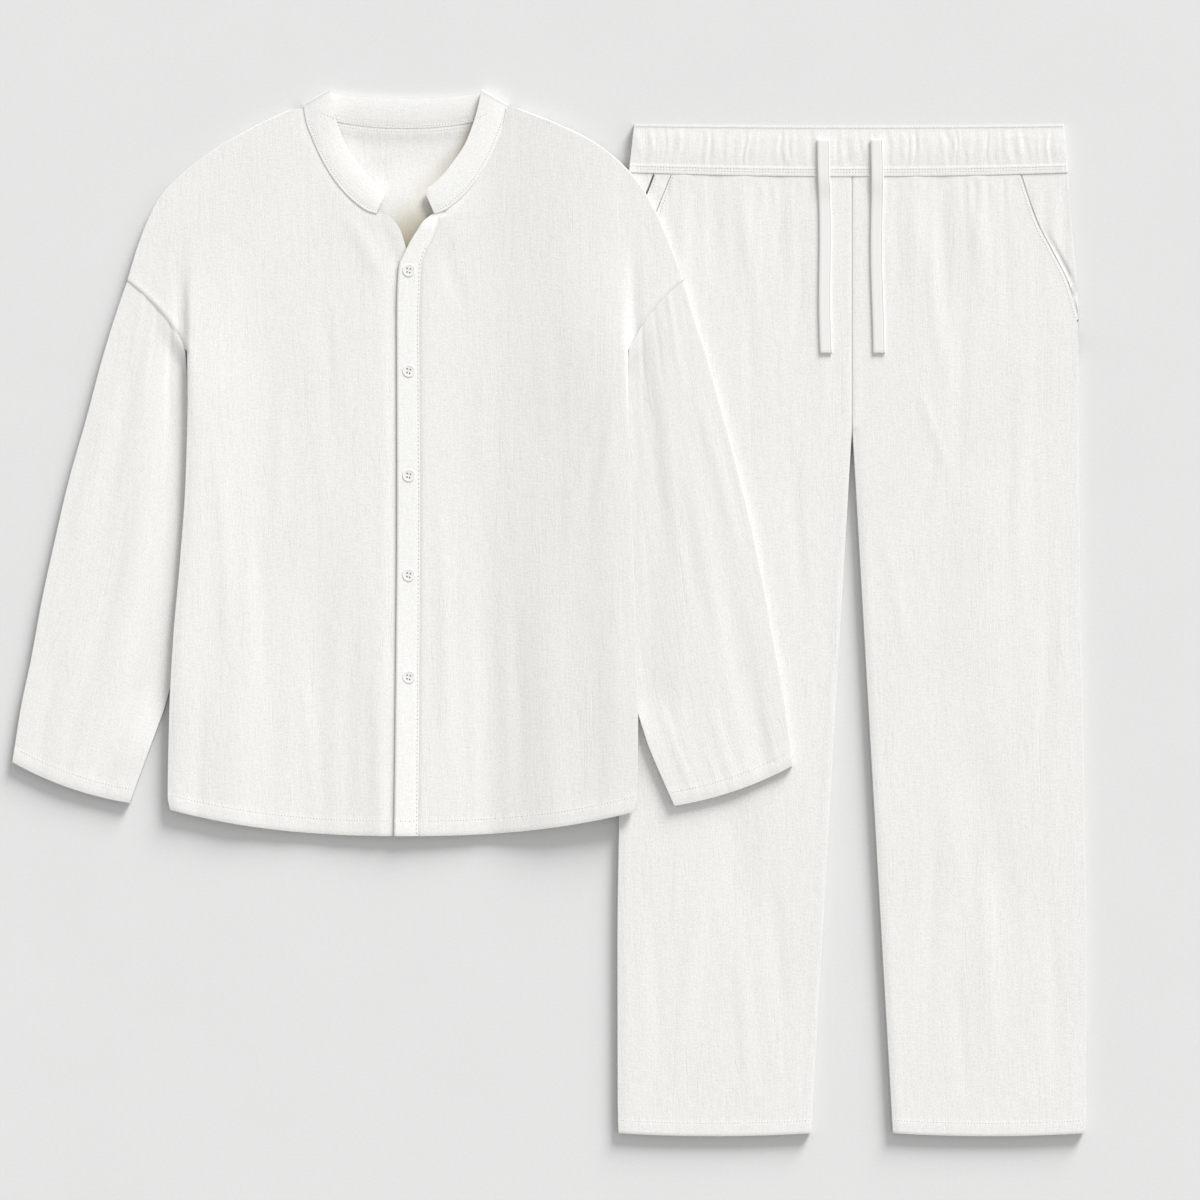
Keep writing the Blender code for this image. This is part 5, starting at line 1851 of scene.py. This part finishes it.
def start_finish(name, roughness):
    """A new material, its shader, and a bare wire that its other nodes start from."""
    material = bpy.data.materials.new(name)
    material.use_nodes = True
    shader = material.node_tree.nodes["Principled BSDF"]
    shader.inputs["Roughness"].default_value = roughness
    return material, shader, Wire(material.node_tree, None)


def tint(colour, share):
    """A colour times a share, or times one for each channel, with its alpha."""
    return (*np.minimum(1, np.multiply(colour, share)).tolist(), 1)

# %% [markdown]
# The cloth's finish is a crinkled gauze of cotton and linen: thick and thin yarns down the cloth, finer ones
# across it, and shallow crinkles that run with the warp. The relief is written as sums of noises in metres,
# stretched along the grain, and goes into a Bump node at its true height. The colour hardly changes, because
# the photo's is nearly plain: it is darker where the relief is low, between the yarns and along the crinkles'
# lines, which is partly the yarns' own tone and partly painted shade, and it takes the painted shade of the
# depth and rim attributes.

# %% Gauze
SLUB_HEIGHT = 0.06
THREAD_HEIGHT = 0.045
WEAVE_HEIGHT = 0.05
CRINKLE_HEIGHT = 0.13
LINE_HEIGHT = 0.06
PUCKER_HEIGHT = 0.22
TWILL_HEIGHT = 0.05
BETWEEN_YARNS_TONE_AND_SHADE = 0.9
ON_YARNS_TONE_AND_LIGHT = 1.035
# The next two are painted shade: how dark the depth and rim attributes make the colour.
PAINTED_SHADE_SHARE = (0.56, 0.5, 0.36)
RIM_PAINTED_SHADE_SHARE = 0.6
# Painted light: the pressed band and placket get this copy of the cloth's colour, a shade lighter.
PRESSED_PAINTED_LIGHT_COLOUR = (0.93, 0.924, 0.9)


def gauze_finish(name, hem_width, crinkle=1.0, light=LINEN_COLOUR):
    """Crinkled gauze. Hems are smoother, with small puckers at their row of sewing."""
    material, shader, start = start_finish(name, 0.88)
    grain = start.attribute("cloth", "Vector")
    from_hem = start.attribute("hem")
    slub = grain.noise(560, 75, 2)
    weft = grain.noise(90, 700, 2)
    weave = grain.noise(820, 470, 1)
    crinkle_wave = grain.noise(150, 22, 2, 0.6) - 0.5
    soft_wave = grain.noise(52, 8, 1, 0.5) - 0.5
    level = grain.noise(150, 8, 1, 0.3) - 0.5
    line = (1 - abs(level).ease(0, 0.022)) * grain.noise(24, 10, 1).ease(0.42, 0.62)
    in_hem = 1 - from_hem.ease((hem_width - 2) * MM, (hem_width + 1) * MM)
    near_row = 1 - abs(from_hem - hem_width * MM).ease(0, 0.008)
    pucker = (grain.noise(230, 60, 1) - 0.5) * near_row
    plain = 1 - 0.55 * in_hem
    relief = (
        SLUB_HEIGHT * MM * slub
        + THREAD_HEIGHT * MM * weft
        + WEAVE_HEIGHT * MM * weave
        + crinkle * CRINKLE_HEIGHT * MM * crinkle_wave * plain
        + crinkle * 1.4 * CRINKLE_HEIGHT * MM * soft_wave * plain
        - crinkle * LINE_HEIGHT * MM * line * plain
        + PUCKER_HEIGHT * MM * pucker
    )
    relief.bump().into(shader, "Normal")
    # The yarns' own tone, with painted shade where the relief is low: between the yarns and along the
    # crinkles' lines.
    between = 0.22 * slub.ease(0.34, 0.6) + 0.18 * weft.ease(0.34, 0.6) + 0.6 * weave.ease(0.25, 0.7)
    between = between + 0.2 * grain.noise(14, 9, 2) - 0.1 - 0.25 * crinkle * line * plain
    colour = between.blend(tint(light, BETWEEN_YARNS_TONE_AND_SHADE), tint(light, ON_YARNS_TONE_AND_LIGHT))
    # Painted shade from the depth and rim attributes.
    colour = start.attribute("depth").blend(colour, tint(light, PAINTED_SHADE_SHARE))
    colour = start.attribute("rim").blend(colour, tint(light, RIM_PAINTED_SHADE_SHARE))
    colour.into(shader, "Base Color")
    return material

# %% [markdown]
# The tapes are woven closer than the gauze, and the buttons are shell, which is glossy under a thin coat.

# %% Tape and pearl


def tape_finish():
    """The tapes are smoother: a fine twill along them."""
    material, shader, start = start_finish("tape_cotton", 0.8)
    twill = start.attribute("cloth", "Vector").noise(700, 260, 2)
    (TWILL_HEIGHT * MM * twill).bump().into(shader, "Normal")
    twill.blend((0.83, 0.82, 0.79, 1), (0.88, 0.87, 0.845, 1)).into(shader, "Base Color")
    return material


def pearl_finish():
    """Shell buttons: glossy, with faint cloudy bands."""
    material, shader, start = start_finish("shell", 0.3)
    shader.inputs["Coat Weight"].default_value = 0.35
    shader.inputs["Coat Roughness"].default_value = 0.12
    cloud = start.node("ShaderNodeTexCoord", output="Object").cloud(260.0, 2.0, 1.5)
    colour = cloud.ease(0.3, 0.7).blend((0.86, 0.85, 0.82, 1), (0.92, 0.915, 0.895, 1))
    colour.into(shader, "Base Color")
    return material


gauze = {
    "shirt": gauze_finish("gauze_shirt", SHIRT_HEM),
    "cuff": gauze_finish("gauze_sleeve", CUFF_HEM),
    "leg": gauze_finish("gauze_leg", LEG_HEM),
    "smooth": gauze_finish("gauze_pressed_painted_light", SHIRT_HEM, crinkle=0.3, light=PRESSED_PAINTED_LIGHT_COLOUR),
}
tape_cotton = tape_finish()
shell = pearl_finish()

# %% [markdown]
# Each piece gets its finish. The pieces differ in where their hem's row of sewing puckers the cloth, and the
# neck band and placket are pressed smooth over a stiffening; their colour is a lighter copy of the cloth's,
# which is painted light.

# %% Dress the pieces
FINISH = {
    "shirt_front_right": "shirt",
    "shirt_front_left": "shirt",
    "shirt_back": "shirt",
    "shirt_sleeve_right": "cuff",
    "shirt_sleeve_left": "cuff",
    "shirt_placket": "smooth",
    "shirt_collar": "smooth",
}
for node, piece in cloths.items():
    piece.data.materials.append(gauze[FINISH.get(node, "leg")])
for side in SIGN:
    tapes[side].data.materials.append(tape_cotton)
for disc, holes in buttons:
    disc.data.materials.append(shell)
    holes.data.materials.append(needle_hole_shade)

# %% [markdown]
# Every piece is fastened to the root body: the cloth, its sewing, the tapes and the buttons. The imported
# pieces that they replace are hidden.

# %% Attach every piece and hide the imported ones
extras = {node: [piece] for node, piece in (shirt_sewing | trouser_sewing).items()}
extras["waistband"] += [eyelets]
extras["shirt_placket"] += [buttonholes]
extras["trouser_front_left"] += [tack]
extras["trouser_front_right"] += [pocket_slit_shadow, facing_line_shade]
for piece in [*sum(extras.values(), []), *tape_ends.values()]:
    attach(piece, "root")
for number, (disc, holes) in enumerate(buttons, 1):
    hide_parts(f"button_{number}")
    for piece in (disc, holes):
        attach(piece, "root")
for node, piece in cloths.items():
    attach(piece, "root")
    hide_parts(node)
print("declared", len(cloths), "sheets and", len(tapes), "cords")

# %% [markdown]
# The set is photographed on a pale grey sweep, with one broad soft light from the upper right, a much weaker
# one from the right, and a bright room all round. The main light is low enough for each edge to throw a soft
# shadow as wide as three fingers, and broad enough that the folds stay gentle.

# %% Floor and light
KEY_HEIGHT = 18.0
KEY_TURN = 62.0
KEY_STRENGTH = 4.75
KEY_SOFTNESS = 24.0
SIDE_HEIGHT = 24.0
SIDE_TURN = 5.0
SIDE_STRENGTH = 0.25
ROOM_STRENGTH = 0.52
FLOOR_HALF = 3.0
FLOOR_GAP = 0.0002
FLOOR_COLOURS = (0.735, 0.736, 0.732, 1), (0.805, 0.805, 0.802, 1)


def add_floor():
    """A flat sweep with a faint speckle, just under the cloth."""
    mesh = bpy.data.meshes.new("floor")
    body = bmesh.new()
    bmesh.ops.create_grid(body, x_segments=1, y_segments=1, size=FLOOR_HALF)
    body.to_mesh(mesh)
    body.free()
    material, shader, start = start_finish("floor", 0.85)
    place = start.node("ShaderNodeTexCoord", output="Object")
    mottle = 0.35 * place.cloud(9.0, 3.0) + 0.65 * place.noise(260, 420, 3)
    mottle.blend(*FLOOR_COLOURS).into(shader, "Base Color")
    mesh.materials.append(material)
    floor = add_object("floor", mesh)
    floor.location = (*VIEW_CENTRE, -FLOOR_GAP)


def add_light():
    """Two suns, each by its strength, its height over the floor and its turn from the right, and the room."""
    lights = (("key", KEY_STRENGTH, KEY_HEIGHT, KEY_TURN), ("side", SIDE_STRENGTH, SIDE_HEIGHT, SIDE_TURN))
    for name, strength, height, turn in lights:
        data = bpy.data.lights.new(name, "SUN")
        data.energy = strength
        data.angle = np.radians(KEY_SOFTNESS)
        light = add_object(name, data)
        light.rotation_euler = (np.radians(90 - height), 0, np.radians(90 + turn))
    world = bpy.data.worlds.new("room")
    world.use_nodes = True
    background = world.node_tree.nodes["Background"]
    background.inputs["Color"].default_value = (1, 1, 1, 1)
    background.inputs["Strength"].default_value = ROOM_STRENGTH
    bpy.context.scene.world = world


add_floor()
add_light()
bpy.context.scene.view_settings.view_transform = "Standard"
